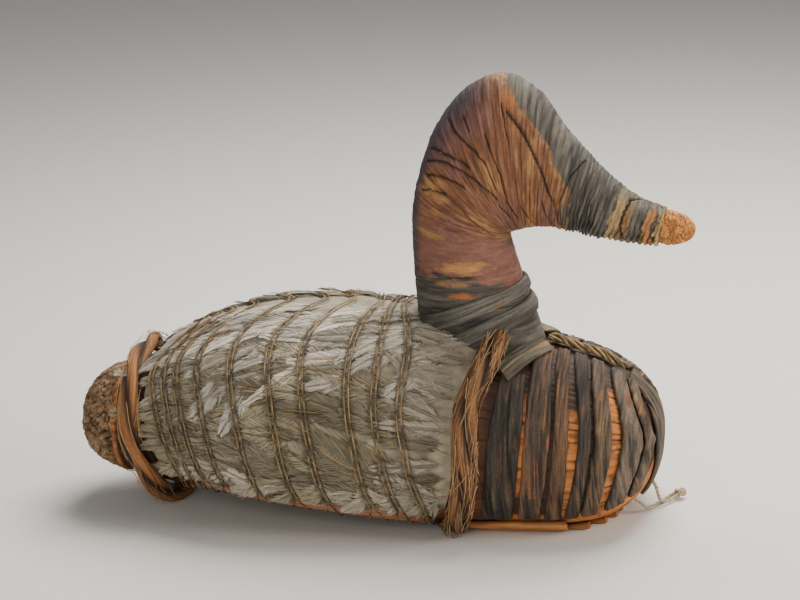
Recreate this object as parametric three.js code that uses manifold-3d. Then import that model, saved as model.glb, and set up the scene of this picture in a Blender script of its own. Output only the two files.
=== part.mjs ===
// Duck decoy of bundled reeds, in millimetres, +X towards the bill and +Z up.
// The origin lies on the table, under the middle of the decoy's length and width.
// A reed bundle makes the body and a second, bent and wrapped one makes the neck, head and bill.
// Flat painted strips cover the breast, two twisted ropes girdle the body, and feathers lie on the
// flanks and back, held by a thin lashing that zigzags over them between two stems at the lower edges.

import * as THREE from 'three';
import { mergeVertices } from 'three/addons/utils/BufferGeometryUtils.js';
import Module from 'manifold-3d';

const wasm = await Module();
wasm.setup();

const { clamp, lerp, degToRad } = THREE.MathUtils;

// Gap between pieces that touch, and the height over the smooth body at which a piece clears its facets.
const GAP = 0.35;
const REST = 0.85;

// Reed body: where it ends, how long the rounded ends are and how blunt.
const TAIL_END = -158.5;
const TAIL_ROUND = 32;
const TAIL_BLUNT = 2.6;
const BREAST_END = 138.4;
const BREAST_ROUND = 56;
const BREAST_BLUNT = 2.6;

// Reed body: its section at a few stations along the length. The underside is pressed flat.
const STATIONS = [-159, -124, -108, -85, -50, 0, 45, 90, 140];
const HALF_WIDTH = smooth(STATIONS, [36, 36, 38, 47, 56.5, 58.5, 55, 53, 51]);
const WIDEST_AT = smooth(STATIONS, [43, 44, 46, 49, 52, 49, 46, 44, 41]);
const BACK = smooth(STATIONS, [70, 74, 84, 95, 103.5, 104, 97, 85.5, 75]);
const BELLY = smooth(STATIONS, [17, 12, 8.4, 10, 7, 1, -3, -4, -2]);
const SOLE = smooth(STATIONS, [10.5, 7.4, 7.4, 16.5, 16.5, 10.5, 4.6, 2.7, 2.7]);
const LOWER_SQUARENESS = smooth(STATIONS, [1.9, 1.9, 1.85, 2.4, 3, 3, 2.6, 2.4, 2.4]);
const UPPER_SQUARENESS = 2.1;
const SOLE_SOFTNESS = 1.4;
const BODY_SIDES = 24;
const TAIL_RINGS = 6;
const BODY_RINGS = 10;
const BREAST_RINGS = 6;

// Neck, head and bill: the outline seen from the side, in pairs across each wrap, nape side first.
const NAPE_SIDE = [
  [23.9, 78], [19.8, 101], [18.4, 120], [18, 138], [18.6, 156], [23, 175.4], [31.8, 197.8], [46.4, 215.8],
  [66, 223.6], [83, 214.2], [95, 197], [106.6, 183], [117.2, 172], [130.4, 162], [144.2, 156.6],
];
const THROAT_SIDE = [
  [85, 80], [77.4, 105], [72, 121], [67.6, 136.5], [66.2, 143], [66.9, 144.6], [67.9, 144.9],
  [69.9, 145.2], [72.9, 146], [77.9, 147], [86.3, 147.3], [96.2, 146], [107, 143.6], [123.1, 140.8],
  [140.2, 138.8],
];
const NECK_HALF_WIDTH = [26, 24, 22, 21.5, 22, 22.5, 22.5, 21.5, 20, 18.5, 17, 15.2, 13.6, 11.4, 9.2];
const NECK_RINGS = 26;
const NECK_SIDES = 14;
const WRAP_RIDGE = 0.7;
const NECK_END = 0.997;

// Bare end of the bill: its length and rise, where its rings stand, and how it rounds off to the tip.
const TIP_LENGTH = 16.1;
const TIP_RISE = 0.06;
const TIP_PARTS = [0, 0.34, 0.66, 0.88, 0.99];
const TIP_SIDES = 10;
const TIP_SIZE = 0.88;
const TIP_LEAST = 0.03;
const TIP_BLUNT = 2.4;

// Twisted ropes: radius, the place along the body from the back (0) to the belly (180), how flat
// each is pressed, and the pitch of the twist.
const GIRDLE_RADIUS = 5.4;
const GIRDLE_AT = smooth([0, 40, 65, 100, 150, 180], [63, 58, 51.5, 50, 38.5, 35]);
const GIRDLE_FLATTENING = smooth([0, 110, 150, 180], [0.92, 0.92, 0.46, 0.46]);
const TAIL_ROPE_RADIUS = 5.2;
const TAIL_ROPE_AT = smooth([0, 40, 80, 120, 180], [-121, -123, -123, -117, -109]);
const TAIL_ROPE_FLATTENING = () => 0.95;
const ROPE_PITCH = 34;
const ROPE_STEP = 7.3;
const ROPE_CLEAR = 1.2;
const ROPE_REST = 1.05;
const PLY_DIP = 0.74;

// Feathers: the coat hangs from the back down to this angle on each side, with shingled rows of feathers.
const COAT_EDGE = 120;
const COAT_BASE = 2.3;
const COAT_STEP = 2.2;
const COAT_ROWS = 7;
const COAT_STEPS_IN_ROW = 3;
const COAT_COLUMNS = 20;
const COAT_LINING_COLUMNS = 16;
const COAT_BEHIND_GIRDLE = 1.6;
const COAT_BEFORE_TAIL_ROPE = 1.2;

// Edge stems below the coat.
const EDGE_STEM_FROM = -86;
const EDGE_STEM_TO = 29;
const EDGE_STEM_ANGLES = [121.5, 139];
const EDGE_STEM_THICK = 1.6;
const EDGE_STEM_STEPS = 10;
const EDGE_STEM_COLUMNS = 2;

// Lashing: where each turn crosses the flank and the middle of the back, and its size. The last turns
// pass behind the neck. From the flank down to the coat's edge every turn slants towards the breast.
// The legs spread less where the next turn or the girdle is near.
const TURNS = [
  [-108, -90], [-101, -83], [-93.5, -75], [-82, -64], [-63.7, -46],
  [-44.5, -28], [-28.3, -14], [-6.3, 0], [6.5, 6], [18.6, 11.5],
];
const TOWARDS_BACK = smooth([0, 0.3, 0.62, 1], [1, -0.15, 0, 0]);
const TOWARDS_EDGE = smooth([0, 0.3, 0.62, 1], [0, 0, 0, 10]);
const TURN_STEPS = 10;
const CORD_WIDE = 1.3;
const CORD_THICK = 1.2;
const CORD_LIFT = 1.1;
const STRAND_APART = 1.1;
const LEG_SPREAD = 4.4;
const LEG_SHARE = 0.18;
const LAST_LEG_ROOM = 18;
const HOOK_PAST_STEM = 5;

// Breast strips, from behind to the front: where both edges lie along the body at the top, half way and
// at the bottom, and the angle down the flank where the strip starts. A strip whose middle lies further
// forward than a place is bent across its width too.
const STRIPS = [
  { top: [66, 78], middle: [62, 77.4], bottom: [55.5, 71], start: 38 },
  { top: [79.5, 88], middle: [79, 91.4], bottom: [73.5, 84], start: 8 },
  { top: [89.6, 96], middle: [93, 100], bottom: [86.5, 94.8], start: 7 },
  { top: [98, 104.5], middle: [104.8, 110.4], bottom: [96.3, 102.8], start: 7 },
  { top: [106, 112.5], middle: [111.8, 120], bottom: [104.2, 111.8], start: 7 },
  { top: [115.5, 122], middle: [124.4, 133], bottom: [115, 124.5], start: 7 },
  { top: [123.4, 128.4], middle: [134, 137.6], bottom: [126, 132], start: 8 },
];
const STRIP_MIDDLE = 75;
const STRIP_FOOT = 129;
const STRIP_THICK = 1.3;
const STRIP_STEPS = 8;
const BENT_FROM = 115;

// The broad strip down the front of the breast, seen from a centre inside it: half its width and how far
// up it runs, in degrees.
const BREAST_CENTRE = new THREE.Vector3(80, 0, 45);
const FRONT_STRIP_HALF = smooth([-27, 0, 22], [8.5, 10, 6]);
const FRONT_STRIP_UP = [22, -27];

// Tie along the top of the breast: its two plies dip between each other and it sways from side to side.
const TIE_FROM = 85;
const TIE_TO = 121;
const TIE_RADIUS = 2.1;
const TIE_STEPS = 10;
const TIE_SIDES = 6;
const TIE_SWAY = 0.8;
const TIE_DIP = 0.7;
const TIE_TWIST = 0.9;

// Wraps at the foot of the neck: where each runs along the neck on average, how much higher it is in
// front, its width along the neck and its thickness. The lowest pair run from the throat down to the
// girdle.
const NECK_BANDS = [0.094, 0.05];
const BAND_SLANT = 0.034;
const BAND_HALF = 0.0125;
const BAND_THICK = 1.4;
const BAND_STEPS = 18;
const LOW_BAND_STEPS = 5;
const LOW_BAND_FRONT = [84, 9];
const LOW_BAND_BACK = [66, 41];
const LOW_BAND_HALF = [3, 3.6];

// Anchor cord: a loop that leaves the low breast by two strands and meets in a knot on the table.
const CORD_RADIUS = 1;
const CORD_SIDES = 6;
const CORD_STEP = 4.5;
const KNOT = new THREE.Vector3(147, 16.5, 3.3);
const KNOT_RADIUS = 3.3;
const UPPER_STRAND = [
  [133.9, 1.2, 15.7], [135.4, 1.4, 14.1], [136.6, 1.7, 11.2], [137.4, 2.1, 7.8], [138.1, 2.9, 4.9],
  [139.4, 4.6, 3], [141.3, 7.4, 2], [143.3, 10.4, 1.9], [145.5, 13.3, 2.6],
];
const LOWER_STRAND = [
  [126.8, -8, 8.5], [129.1, -7.6, 7.1], [131.2, -6.6, 4.7], [132.8, -4.1, 2.5], [134.4, 0, 1.4],
  [136.6, 4.8, 1.2], [139.4, 10, 1.4], [143.2, 15.3, 2.7],
];

// Sole: flat stems under the breast.
const SOLE_STEMS = 9;
const SOLE_STEM_WIDE = 8.4;
const SOLE_STEM_PITCH = 9.1;
const SOLE_STEM_FROM = 48.5;
const SOLE_STEM_TO = 119;
const SOLE_STEM_SHORTER = 1.4;
const SOLE_STEM_STEPS = 5;
const SOLE_STEM_THICK = 3;

// A smooth curve through (xs[i], ys[i]): cubic stretches whose slopes come from the neighbouring points.
function smooth(xs, ys) {
  const last = xs.length - 1;
  const slopeAt = (i) => {
    const before = Math.max(i - 1, 0);
    const after = Math.min(i + 1, last);
    return (ys[after] - ys[before]) / (xs[after] - xs[before]);
  };
  return (x) => {
    const above = xs.findIndex((edge) => edge > x);
    const i = above < 0 ? last - 1 : Math.max(above - 1, 0);
    const span = xs[i + 1] - xs[i];
    const t = clamp((x - xs[i]) / span, 0, 1);
    const start = ys[i] * (1 + 2 * t) * (1 - t) ** 2 + ys[i + 1] * t ** 2 * (3 - 2 * t);
    return start + span * (slopeAt(i) * t * (1 - t) ** 2 - slopeAt(i + 1) * t ** 2 * (1 - t));
  };
}

// How far the body's section is open at x: 1 along the middle, closing to 0 at the tail and breast ends.
function openness(x) {
  const tail = clamp((TAIL_END + TAIL_ROUND - x) / TAIL_ROUND, 0, 1);
  const breast = clamp((x - BREAST_END + BREAST_ROUND) / BREAST_ROUND, 0, 1);
  const tailOpen = (1 - tail ** TAIL_BLUNT) ** (1 / TAIL_BLUNT);
  return tailOpen * (1 - breast ** BREAST_BLUNT) ** (1 / BREAST_BLUNT);
}

// The flat underside: a height that would fall below the sole is eased up to it.
function easedToSole(x, z) {
  const above = (z - SOLE(x)) / SOLE_SOFTNESS;
  return SOLE(x) + SOLE_SOFTNESS * Math.log(1 + Math.exp(above));
}

// A point of the body's surface at x, turned by an angle in degrees from the back (0) over the flank
// (-90 or 90).
function flank(x, degrees) {
  const angle = degToRad(degrees);
  const open = openness(x);
  const sideways = Math.sin(angle);
  const upwards = Math.cos(angle);
  const squareness = upwards > 0 ? UPPER_SQUARENESS : LOWER_SQUARENESS(x);
  const power = 2 / squareness;
  const reach = upwards > 0 ? BACK(x) - WIDEST_AT(x) : WIDEST_AT(x) - BELLY(x);
  const y = HALF_WIDTH(x) * open * Math.sign(sideways) * Math.abs(sideways) ** power;
  const z = WIDEST_AT(x) + reach * open * Math.sign(upwards) * Math.abs(upwards) ** power;
  return new THREE.Vector3(x, y, easedToSole(x, z));
}

// The height of the body's upper or lower surface over a point of the table.
function bodyHeight(x, y, upper) {
  const open = Math.max(openness(x), 1e-6);
  const squareness = upper ? UPPER_SQUARENESS : LOWER_SQUARENESS(x);
  const across = clamp(Math.abs(y) / (HALF_WIDTH(x) * open), 0, 1);
  const reach = (upper ? BACK(x) - WIDEST_AT(x) : BELLY(x) - WIDEST_AT(x)) * open;
  return easedToSole(x, WIDEST_AT(x) + reach * (1 - across ** squareness) ** (1 / squareness));
}

function underside(x, y) {
  return new THREE.Vector3(x, y, bodyHeight(x, y, false));
}

function isInsideBody({ x, y, z }) {
  if (x <= TAIL_END || x >= BREAST_END || Math.abs(y) >= HALF_WIDTH(x) * openness(x)) {
    return false;
  }
  return z < bodyHeight(x, y, true) && z > bodyHeight(x, y, false);
}

// A point of the breast, seen from its centre at an angle round and an angle up, found by halving.
function breast(round, up) {
  const a = degToRad(round);
  const e = degToRad(up);
  const ray = new THREE.Vector3(Math.cos(a) * Math.cos(e), Math.sin(a) * Math.cos(e), Math.sin(e));
  let near = 0;
  let far = 120;
  for (let i = 0; i < 40; i++) {
    const middle = (near + far) / 2;
    if (isInsideBody(BREAST_CENTRE.clone().addScaledVector(ray, middle))) {
      near = middle;
    } else {
      far = middle;
    }
  }
  return BREAST_CENTRE.clone().addScaledVector(ray, near);
}

const napeSide = new THREE.CatmullRomCurve3(NAPE_SIDE.map(([x, z]) => new THREE.Vector3(x, 0, z)));
const throatSide = new THREE.CatmullRomCurve3(THROAT_SIDE.map(([x, z]) => new THREE.Vector3(x, 0, z)));
napeSide.curveType = 'catmullrom';
throatSide.curveType = 'catmullrom';
const neckHalfWidth = smooth(NECK_HALF_WIDTH.map((width, i) => i), NECK_HALF_WIDTH);

// A point of the wrapped neck: along it from the body (0) to the bill (1), round it from the nape (0).
function neck(along, degrees) {
  const angle = degToRad(degrees);
  const outer = napeSide.getPoint(along);
  const inner = throatSide.getPoint(along);
  const middle = outer.clone().add(inner).multiplyScalar(0.5);
  const half = outer.clone().sub(middle).multiplyScalar(Math.cos(angle));
  const wide = neckHalfWidth(along * (NECK_HALF_WIDTH.length - 1)) * Math.sin(angle);
  return middle.add(half).add(new THREE.Vector3(0, wide, 0));
}

// The outward direction of a surface, from small steps both ways.
function outward(surface, u, v) {
  const du = surface === neck ? 0.002 : 0.1;
  const dv = 0.1;
  const alongU = surface(u + du, v).sub(surface(u - du, v));
  const alongV = surface(u, v + dv).sub(surface(u, v - dv));
  return alongU.cross(alongV).normalize().multiplyScalar(surface === underside ? -1 : 1);
}

// A point raised off a surface by a height.
function raised(surface, u, v, height) {
  return surface(u, v).addScaledVector(outward(surface, u, v), height);
}

function newell(ring) {
  const normal = new THREE.Vector3();
  ring.forEach((point, i) => {
    normal.add(point.clone().cross(ring[(i + 1) % ring.length]));
  });
  return normal.normalize();
}

// Triangles that fill a ring, worked out in the ring's own plane.
function fill(ring) {
  const normal = newell(ring);
  const helper = Math.abs(normal.x) < 0.7 ? new THREE.Vector3(1, 0, 0) : new THREE.Vector3(0, 0, 1);
  const right = helper.clone().cross(normal).normalize();
  const up = normal.clone().cross(right);
  const flat = ring.map((point) => new THREE.Vector2(point.dot(right), point.dot(up)));
  return THREE.ShapeUtils.triangulateShape(flat, []);
}

// A closed skin over rings of equal counts: filled at both ends, or joined last to first where the row
// of rings meets itself.
function skin(rings, meets = false) {
  const around = rings[0].length;
  const faces = [];
  const rows = meets ? rings.length : rings.length - 1;
  for (let i = 0; i < rows; i++) {
    const here = i * around;
    const next = ((i + 1) % rings.length) * around;
    for (let j = 0; j < around; j++) {
      const k = (j + 1) % around;
      faces.push([here + j, here + k, next + k], [here + j, next + k, next + j]);
    }
  }
  if (!meets) {
    const end = (rings.length - 1) * around;
    fill(rings[0]).forEach(([a, b, c]) => faces.push([c, b, a]));
    fill(rings[rings.length - 1]).forEach(([a, b, c]) => faces.push([end + a, end + b, end + c]));
  }
  return facedOut(rings.flat(), faces);
}

// A geometry of shared points, with every face turned outwards.
function facedOut(points, faces) {
  let volume = 0;
  faces.forEach(([a, b, c]) => {
    volume += points[a].dot(points[b].clone().cross(points[c]));
  });
  const index = faces.flatMap(([a, b, c]) => (volume > 0 ? [a, b, c] : [a, c, b]));
  const geometry = new THREE.BufferGeometry();
  const positions = points.flatMap((point) => [point.x, point.y, point.z]);
  geometry.setAttribute('position', new THREE.Float32BufferAttribute(positions, 3));
  geometry.setIndex(index);
  return geometry;
}

function solid(geometry) {
  const merged = mergeVertices(geometry, 1e-4);
  const mesh = new wasm.Mesh({
    numProp: 3,
    vertProperties: merged.attributes.position.array,
    triVerts: new Uint32Array(merged.index.array),
  });
  mesh.merge();
  return new wasm.Manifold(mesh);
}

function shape(manifold) {
  const mesh = manifold.getMesh();
  const geometry = new THREE.BufferGeometry();
  geometry.setAttribute('position', new THREE.Float32BufferAttribute(mesh.vertProperties, 3));
  geometry.setIndex([...mesh.triVerts]);
  return geometry;
}

// The largest single body of a cut solid, so that no sliver is left beside it.
function largest(manifold) {
  const bodies = manifold.decompose();
  return bodies.reduce((best, body) => (body.volume() > best.volume() ? body : best));
}

// Where the body's rings stand: close together at both rounded ends.
function bodyRows() {
  const rows = [];
  for (let i = 0; i < TAIL_RINGS; i++) {
    const turn = ((i + 0.35) / (TAIL_RINGS + 0.35)) * Math.PI / 2;
    rows.push(TAIL_END + TAIL_ROUND * (1 - Math.cos(turn)));
  }
  for (let i = 0; i <= BODY_RINGS; i++) {
    rows.push(lerp(TAIL_END + TAIL_ROUND, BREAST_END - BREAST_ROUND, i / BODY_RINGS));
  }
  for (let i = 1; i <= BREAST_RINGS; i++) {
    const turn = (i / (BREAST_RINGS + 0.3)) * Math.PI / 2;
    rows.push(BREAST_END - BREAST_ROUND + BREAST_ROUND * Math.sin(turn));
  }
  return rows;
}

// The body's solid, raised by a height all over.
function bodyGeometry(height) {
  const rings = bodyRows().map((x) => {
    const ring = [];
    for (let j = 0; j < BODY_SIDES; j++) {
      const degrees = (j / BODY_SIDES) * 360 - 180;
      ring.push(height ? raised(flank, x, degrees, height) : flank(x, degrees));
    }
    return ring;
  });
  return skin(rings);
}

// The wrapped neck, head and bill, raised by a height. Every other ring stands out as the edge of a wrap.
function neckGeometry(height, ridge) {
  const rings = [];
  for (let i = 0; i <= NECK_RINGS; i++) {
    const ring = [];
    const lift = height + (i % 2 ? ridge : 0);
    for (let j = 0; j < NECK_SIDES; j++) {
      const along = clamp(i / NECK_RINGS, 1 - NECK_END, NECK_END);
      ring.push(raised(neck, along, (j / NECK_SIDES) * 360, lift));
    }
    rings.push(ring);
  }
  return skin(rings);
}

// The bare end of the neck's stems, rounding off from the last wrap to the tip of the bill.
function billTipGeometry() {
  const centre = neck(NECK_END, 0).add(neck(NECK_END, 180)).multiplyScalar(0.5);
  const up = neck(NECK_END, 0).sub(centre);
  const axis = new THREE.Vector3(up.z, 0, -up.x).normalize();
  axis.z += TIP_RISE;
  const rings = TIP_PARTS.map((part) => {
    const size = TIP_SIZE * Math.sqrt(1 - part ** TIP_BLUNT) + TIP_LEAST;
    const middle = centre.clone().addScaledVector(axis, GAP + TIP_LENGTH * part);
    const ring = [];
    for (let j = 0; j < TIP_SIDES; j++) {
      const angle = (j / TIP_SIDES) * Math.PI * 2;
      const point = middle.clone().addScaledVector(up, Math.cos(angle) * size);
      point.y += Math.sin(angle) * size * up.length();
      ring.push(point);
    }
    return ring;
  });
  return skin(rings);
}

// The route of a rope round the body, in even steps, as [x, degrees] pairs.
function ropeRoute(at) {
  const fine = 360;
  const lengths = [0];
  for (let i = 1; i <= fine; i++) {
    const here = flank(at(Math.abs(i - 180)), i - 180);
    const before = flank(at(Math.abs(i - 181)), i - 181);
    lengths.push(lengths[i - 1] + here.distanceTo(before));
  }
  const total = lengths[fine];
  const steps = Math.round(total / ROPE_STEP);
  const route = [];
  for (let i = 0; i < steps; i++) {
    const wanted = (total * i) / steps;
    const above = lengths.findIndex((length) => length > wanted);
    const part = (wanted - lengths[above - 1]) / (lengths[above] - lengths[above - 1]);
    const degrees = above - 1 + part - 180;
    route.push([at(Math.abs(degrees)), degrees]);
  }
  return { route, total };
}

// A two-ply rope lying round the body. Its section is a hexagon, long across both plies, that turns
// with the twist. Where the rope is pressed flat it spreads sideways, and nothing of it reaches below
// the table.
function ropeGeometry(at, radius, flattening, extra = 0, plies = true) {
  const { route, total } = ropeRoute(at);
  const turns = Math.round(total / ROPE_PITCH) / 2;
  const centres = route.map(([x, degrees]) => {
    const flat = flattening(Math.abs(degrees));
    return raised(flank, x, degrees, radius * flat + ROPE_REST);
  });
  const rings = route.map(([x, degrees], i) => {
    const flat = flattening(Math.abs(degrees));
    const out = outward(flank, x, degrees);
    const ahead = centres[(i + 1) % centres.length].clone().sub(centres.at(i - 1)).normalize();
    const side = ahead.clone().cross(out).normalize();
    const away = side.clone().cross(ahead).normalize();
    const twist = (i / route.length) * turns * 2 * Math.PI;
    const ring = [];
    for (let j = 0; j < 6; j++) {
      const ply = plies && j % 3 ? PLY_DIP : 1;
      const angle = (j / 6) * 2 * Math.PI + (plies ? twist : 0);
      const across = Math.cos(angle) * (radius * ply / Math.sqrt(flat) + extra);
      const off = Math.sin(angle) * (radius * ply * flat + extra);
      const point = centres[i].clone().addScaledVector(side, across).addScaledVector(away, off);
      point.z = Math.max(point.z, extra ? -extra : 0);
      ring.push(point);
    }
    return ring;
  });
  return skin(rings, true);
}

// A flat strap on a surface, between two heights. Each row gives its two edges as [u, v] pairs, and the
// strap is bent over the surface in columns from one edge to the other.
function strapGeometry(surface, rows, { low, high, columns = 1, meets = false, floor = -Infinity }) {
  const rings = rows.map(([first, second]) => {
    const across = [];
    for (let k = 0; k <= columns; k++) {
      across.push([lerp(first[0], second[0], k / columns), lerp(first[1], second[1], k / columns)]);
    }
    const ring = [
      ...across.map(([u, v]) => raised(surface, u, v, low)),
      ...across.reverse().map(([u, v]) => raised(surface, u, v, high)),
    ];
    ring.forEach((point) => {
      point.z = Math.max(point.z, floor);
    });
    return ring;
  });
  return skin(rings, meets);
}

// The feather coat: a saddle from one lower edge over the back to the other. Each row of feathers grows
// thicker towards the tail and drops to the next, and every other feather is set half a row back.
function coatGeometry() {
  const steps = COAT_ROWS * COAT_STEPS_IN_ROW;
  const rings = [];
  for (let i = 0; i <= steps; i++) {
    const ring = [];
    for (let j = 0; j <= COAT_COLUMNS; j++) {
      const degrees = lerp(-COAT_EDGE, COAT_EDGE, j / COAT_COLUMNS);
      const phase = i / COAT_STEPS_IN_ROW + (j % 2) / 2;
      const lift = COAT_BASE + COAT_STEP * (1 - (phase % 1));
      ring.push(raised(flank, coatX(i / steps, degrees), degrees, GAP + lift));
    }
    for (let j = COAT_LINING_COLUMNS; j >= 0; j--) {
      const degrees = lerp(-COAT_EDGE, COAT_EDGE, j / COAT_LINING_COLUMNS);
      ring.push(raised(flank, coatX(i / steps, degrees), degrees, REST));
    }
    rings.push(ring);
  }
  return skin(rings);
}

// Where a part of the coat's length lies, between the tail rope and the girdle.
function coatX(part, degrees) {
  const from = TAIL_ROPE_AT(Math.abs(degrees)) + TAIL_ROPE_RADIUS + COAT_BEFORE_TAIL_ROPE;
  const to = GIRDLE_AT(Math.abs(degrees)) - GIRDLE_RADIUS - COAT_BEHIND_GIRDLE;
  return lerp(from, to, part);
}

// Where a lashing turn lies along the body at an angle down the flank.
function turnX([atFlank, atBack], degrees) {
  const part = Math.abs(degrees) / COAT_EDGE;
  return atFlank + (atBack - atFlank) * TOWARDS_BACK(part) + TOWARDS_EDGE(part);
}

// The lashing is one long cord. Each turn is two strands side by side: they part into two legs below
// the coat, hook under the edge stem, and run on there, to each other on the left and to the next turn
// on the right.
function lashingRoute() {
  const overCoat = GAP + COAT_BASE + COAT_STEP + GAP + CORD_LIFT;
  const overStem = REST + EDGE_STEM_THICK + GAP + CORD_LIFT;
  const [stemTop, stemFoot] = EDGE_STEM_ANGLES;
  const route = [];
  TURNS.forEach((turn, i) => {
    const foot = turnX(turn, COAT_EDGE);
    const next = TURNS[Math.min(i + 1, TURNS.length - 1)];
    const before = TURNS[Math.max(i - 1, 0)];
    const room = LAST_LEG_ROOM + GIRDLE_AT(EDGE_STEM_ANGLES[1]) - foot;
    const spread = Math.min(LEG_SPREAD, (next[0] - before[0]) * LEG_SHARE, room * LEG_SHARE);
    [-1, 1].forEach((strand) => {
      const legs = (side) => [
        [foot + strand * spread * 0.5, side * (stemTop + 4), overStem],
        [foot + strand * spread, side * (stemFoot + 1), overStem],
        [foot + strand * spread, side * (stemFoot + HOOK_PAST_STEM), REST],
      ];
      route.push(...legs(strand).reverse());
      for (let j = 0; j <= TURN_STEPS; j++) {
        const degrees = lerp(strand * COAT_EDGE, -strand * COAT_EDGE, j / TURN_STEPS);
        route.push([turnX(turn, degrees) + strand * STRAND_APART, degrees, overCoat]);
      }
      route.push(...legs(-strand));
    });
  });
  return route;
}

// The lashing cord's section is a triangle that lies flat on the feathers.
function lashingGeometry() {
  const places = lashingRoute();
  const feet = places.map(([x, degrees, height]) => raised(flank, x, degrees, height));
  const rings = places.map(([x, degrees], i) => {
    const after = feet[Math.min(i + 1, feet.length - 1)];
    const before = feet[Math.max(i - 1, 0)];
    const out = outward(flank, x, degrees);
    const side = after.clone().sub(before).normalize().cross(out).normalize();
    return [
      feet[i].clone().addScaledVector(side, -CORD_WIDE / 2),
      feet[i].clone().addScaledVector(side, CORD_WIDE / 2),
      feet[i].clone().addScaledVector(out, CORD_THICK),
    ];
  });
  return skin(rings);
}

// A breast strip down one flank, its edges curved through their three places.
function stripGeometry({ top, middle, bottom, start }, hand) {
  const down = [start, STRIP_MIDDLE, STRIP_FOOT];
  const edges = [0, 1].map((k) => smooth(down, [top[k], middle[k], bottom[k]]));
  const rows = [];
  for (let i = 0; i <= STRIP_STEPS; i++) {
    const degrees = lerp(start, STRIP_FOOT, i / STRIP_STEPS);
    rows.push(edges.map((edge) => [edge(degrees), hand * degrees]));
  }
  const columns = middle[0] > BENT_FROM ? 2 : 1;
  return strapGeometry(flank, rows, { low: REST, high: REST + STRIP_THICK, columns });
}

function frontStripGeometry() {
  const rows = [];
  for (let i = 0; i <= STRIP_STEPS; i++) {
    const up = lerp(...FRONT_STRIP_UP, i / STRIP_STEPS);
    const half = FRONT_STRIP_HALF(up);
    rows.push([[-half, up], [half, up]]);
  }
  return strapGeometry(breast, rows, { low: REST, high: REST + STRIP_THICK, columns: 2 });
}

// A flat stem under one lower edge of the coat.
function edgeStemGeometry(hand) {
  const rows = [];
  for (let i = 0; i <= EDGE_STEM_STEPS; i++) {
    const x = lerp(EDGE_STEM_FROM, EDGE_STEM_TO, i / EDGE_STEM_STEPS);
    rows.push(EDGE_STEM_ANGLES.map((degrees) => [x, hand * degrees]));
  }
  const high = REST + EDGE_STEM_THICK;
  return strapGeometry(flank, rows, { low: REST, high, columns: EDGE_STEM_COLUMNS });
}

// A flat stem of the sole: it bears on the table along its middle and turns up with the breast in front.
function soleStemGeometry(index) {
  const place = index - (SOLE_STEMS - 1) / 2;
  const y = place * SOLE_STEM_PITCH;
  const to = SOLE_STEM_TO - SOLE_STEM_SHORTER * place ** 2;
  const rows = [];
  for (let i = 0; i <= SOLE_STEM_STEPS; i++) {
    const x = lerp(SOLE_STEM_FROM, to, i / SOLE_STEM_STEPS);
    rows.push([[x, y - SOLE_STEM_WIDE / 2], [x, y + SOLE_STEM_WIDE / 2]]);
  }
  return strapGeometry(underside, rows, { low: REST, high: REST + SOLE_STEM_THICK, floor: 0 });
}

// A wrap round the foot of the neck, higher in front than behind.
function neckBandGeometry(mean) {
  const rows = [];
  for (let i = 0; i < BAND_STEPS; i++) {
    const degrees = (i / BAND_STEPS) * 360;
    const along = mean - BAND_SLANT * Math.cos(degToRad(degrees));
    rows.push([[along - BAND_HALF, degrees], [along + BAND_HALF, degrees]]);
  }
  const low = WRAP_RIDGE + GAP * 1.5;
  return strapGeometry(neck, rows, { low, high: low + BAND_THICK, meets: true });
}

// The lowest wrap on each side, from the throat down to the girdle rope.
function lowBandGeometry(hand) {
  const rows = [];
  for (let i = 0; i <= LOW_BAND_STEPS; i++) {
    const x = lerp(LOW_BAND_FRONT[0], LOW_BAND_BACK[0], i / LOW_BAND_STEPS);
    const degrees = lerp(LOW_BAND_FRONT[1], LOW_BAND_BACK[1], i / LOW_BAND_STEPS);
    const [along, down] = LOW_BAND_HALF;
    rows.push([[x - along, hand * (degrees - down)], [x + along, hand * (degrees + down)]]);
  }
  const low = REST + STRIP_THICK + GAP * 2;
  return strapGeometry(flank, rows, { low, high: low + BAND_THICK });
}

// The twisted tie along the top of the breast, between the strips of both sides.
function tieGeometry() {
  const rings = [];
  for (let i = 0; i <= TIE_STEPS; i++) {
    const x = lerp(TIE_FROM, TIE_TO, i / TIE_STEPS);
    const sway = TIE_SWAY * Math.sin(i);
    const centre = raised(flank, x, sway, GAP + TIE_RADIUS);
    const out = outward(flank, x, sway);
    const ring = [];
    for (let j = 0; j < TIE_SIDES; j++) {
      const angle = (j / TIE_SIDES) * 2 * Math.PI + i * TIE_TWIST;
      const size = TIE_RADIUS * (j % 3 ? TIE_DIP : 1);
      const point = centre.clone().addScaledVector(out, Math.cos(angle) * size);
      point.y += Math.sin(angle) * size;
      ring.push(point);
    }
    rings.push(ring);
  }
  return skin(rings);
}

// One strand of the anchor cord, as a tube along its route.
function strandGeometry(route) {
  const path = new THREE.CatmullRomCurve3(route.map((place) => new THREE.Vector3(...place)));
  const section = new THREE.Shape();
  for (let j = 0; j < CORD_SIDES; j++) {
    const angle = (j / CORD_SIDES) * 2 * Math.PI;
    const point = [CORD_RADIUS * Math.cos(angle), CORD_RADIUS * Math.sin(angle)];
    if (j) {
      section.lineTo(...point);
    } else {
      section.moveTo(...point);
    }
  }
  const steps = Math.round(path.getLength() / CORD_STEP);
  const tube = new THREE.ExtrudeGeometry(section, { steps, extrudePath: path, bevelEnabled: false });
  tube.deleteAttribute('normal');
  tube.deleteAttribute('uv');
  return mergeVertices(tube, 1e-4);
}

function knotGeometry() {
  const ball = new THREE.IcosahedronGeometry(KNOT_RADIUS, 1);
  ball.deleteAttribute('normal');
  ball.deleteAttribute('uv');
  ball.translate(KNOT.x, KNOT.y, KNOT.z);
  return mergeVertices(ball, 1e-4);
}

const group = new THREE.Group();

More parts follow.
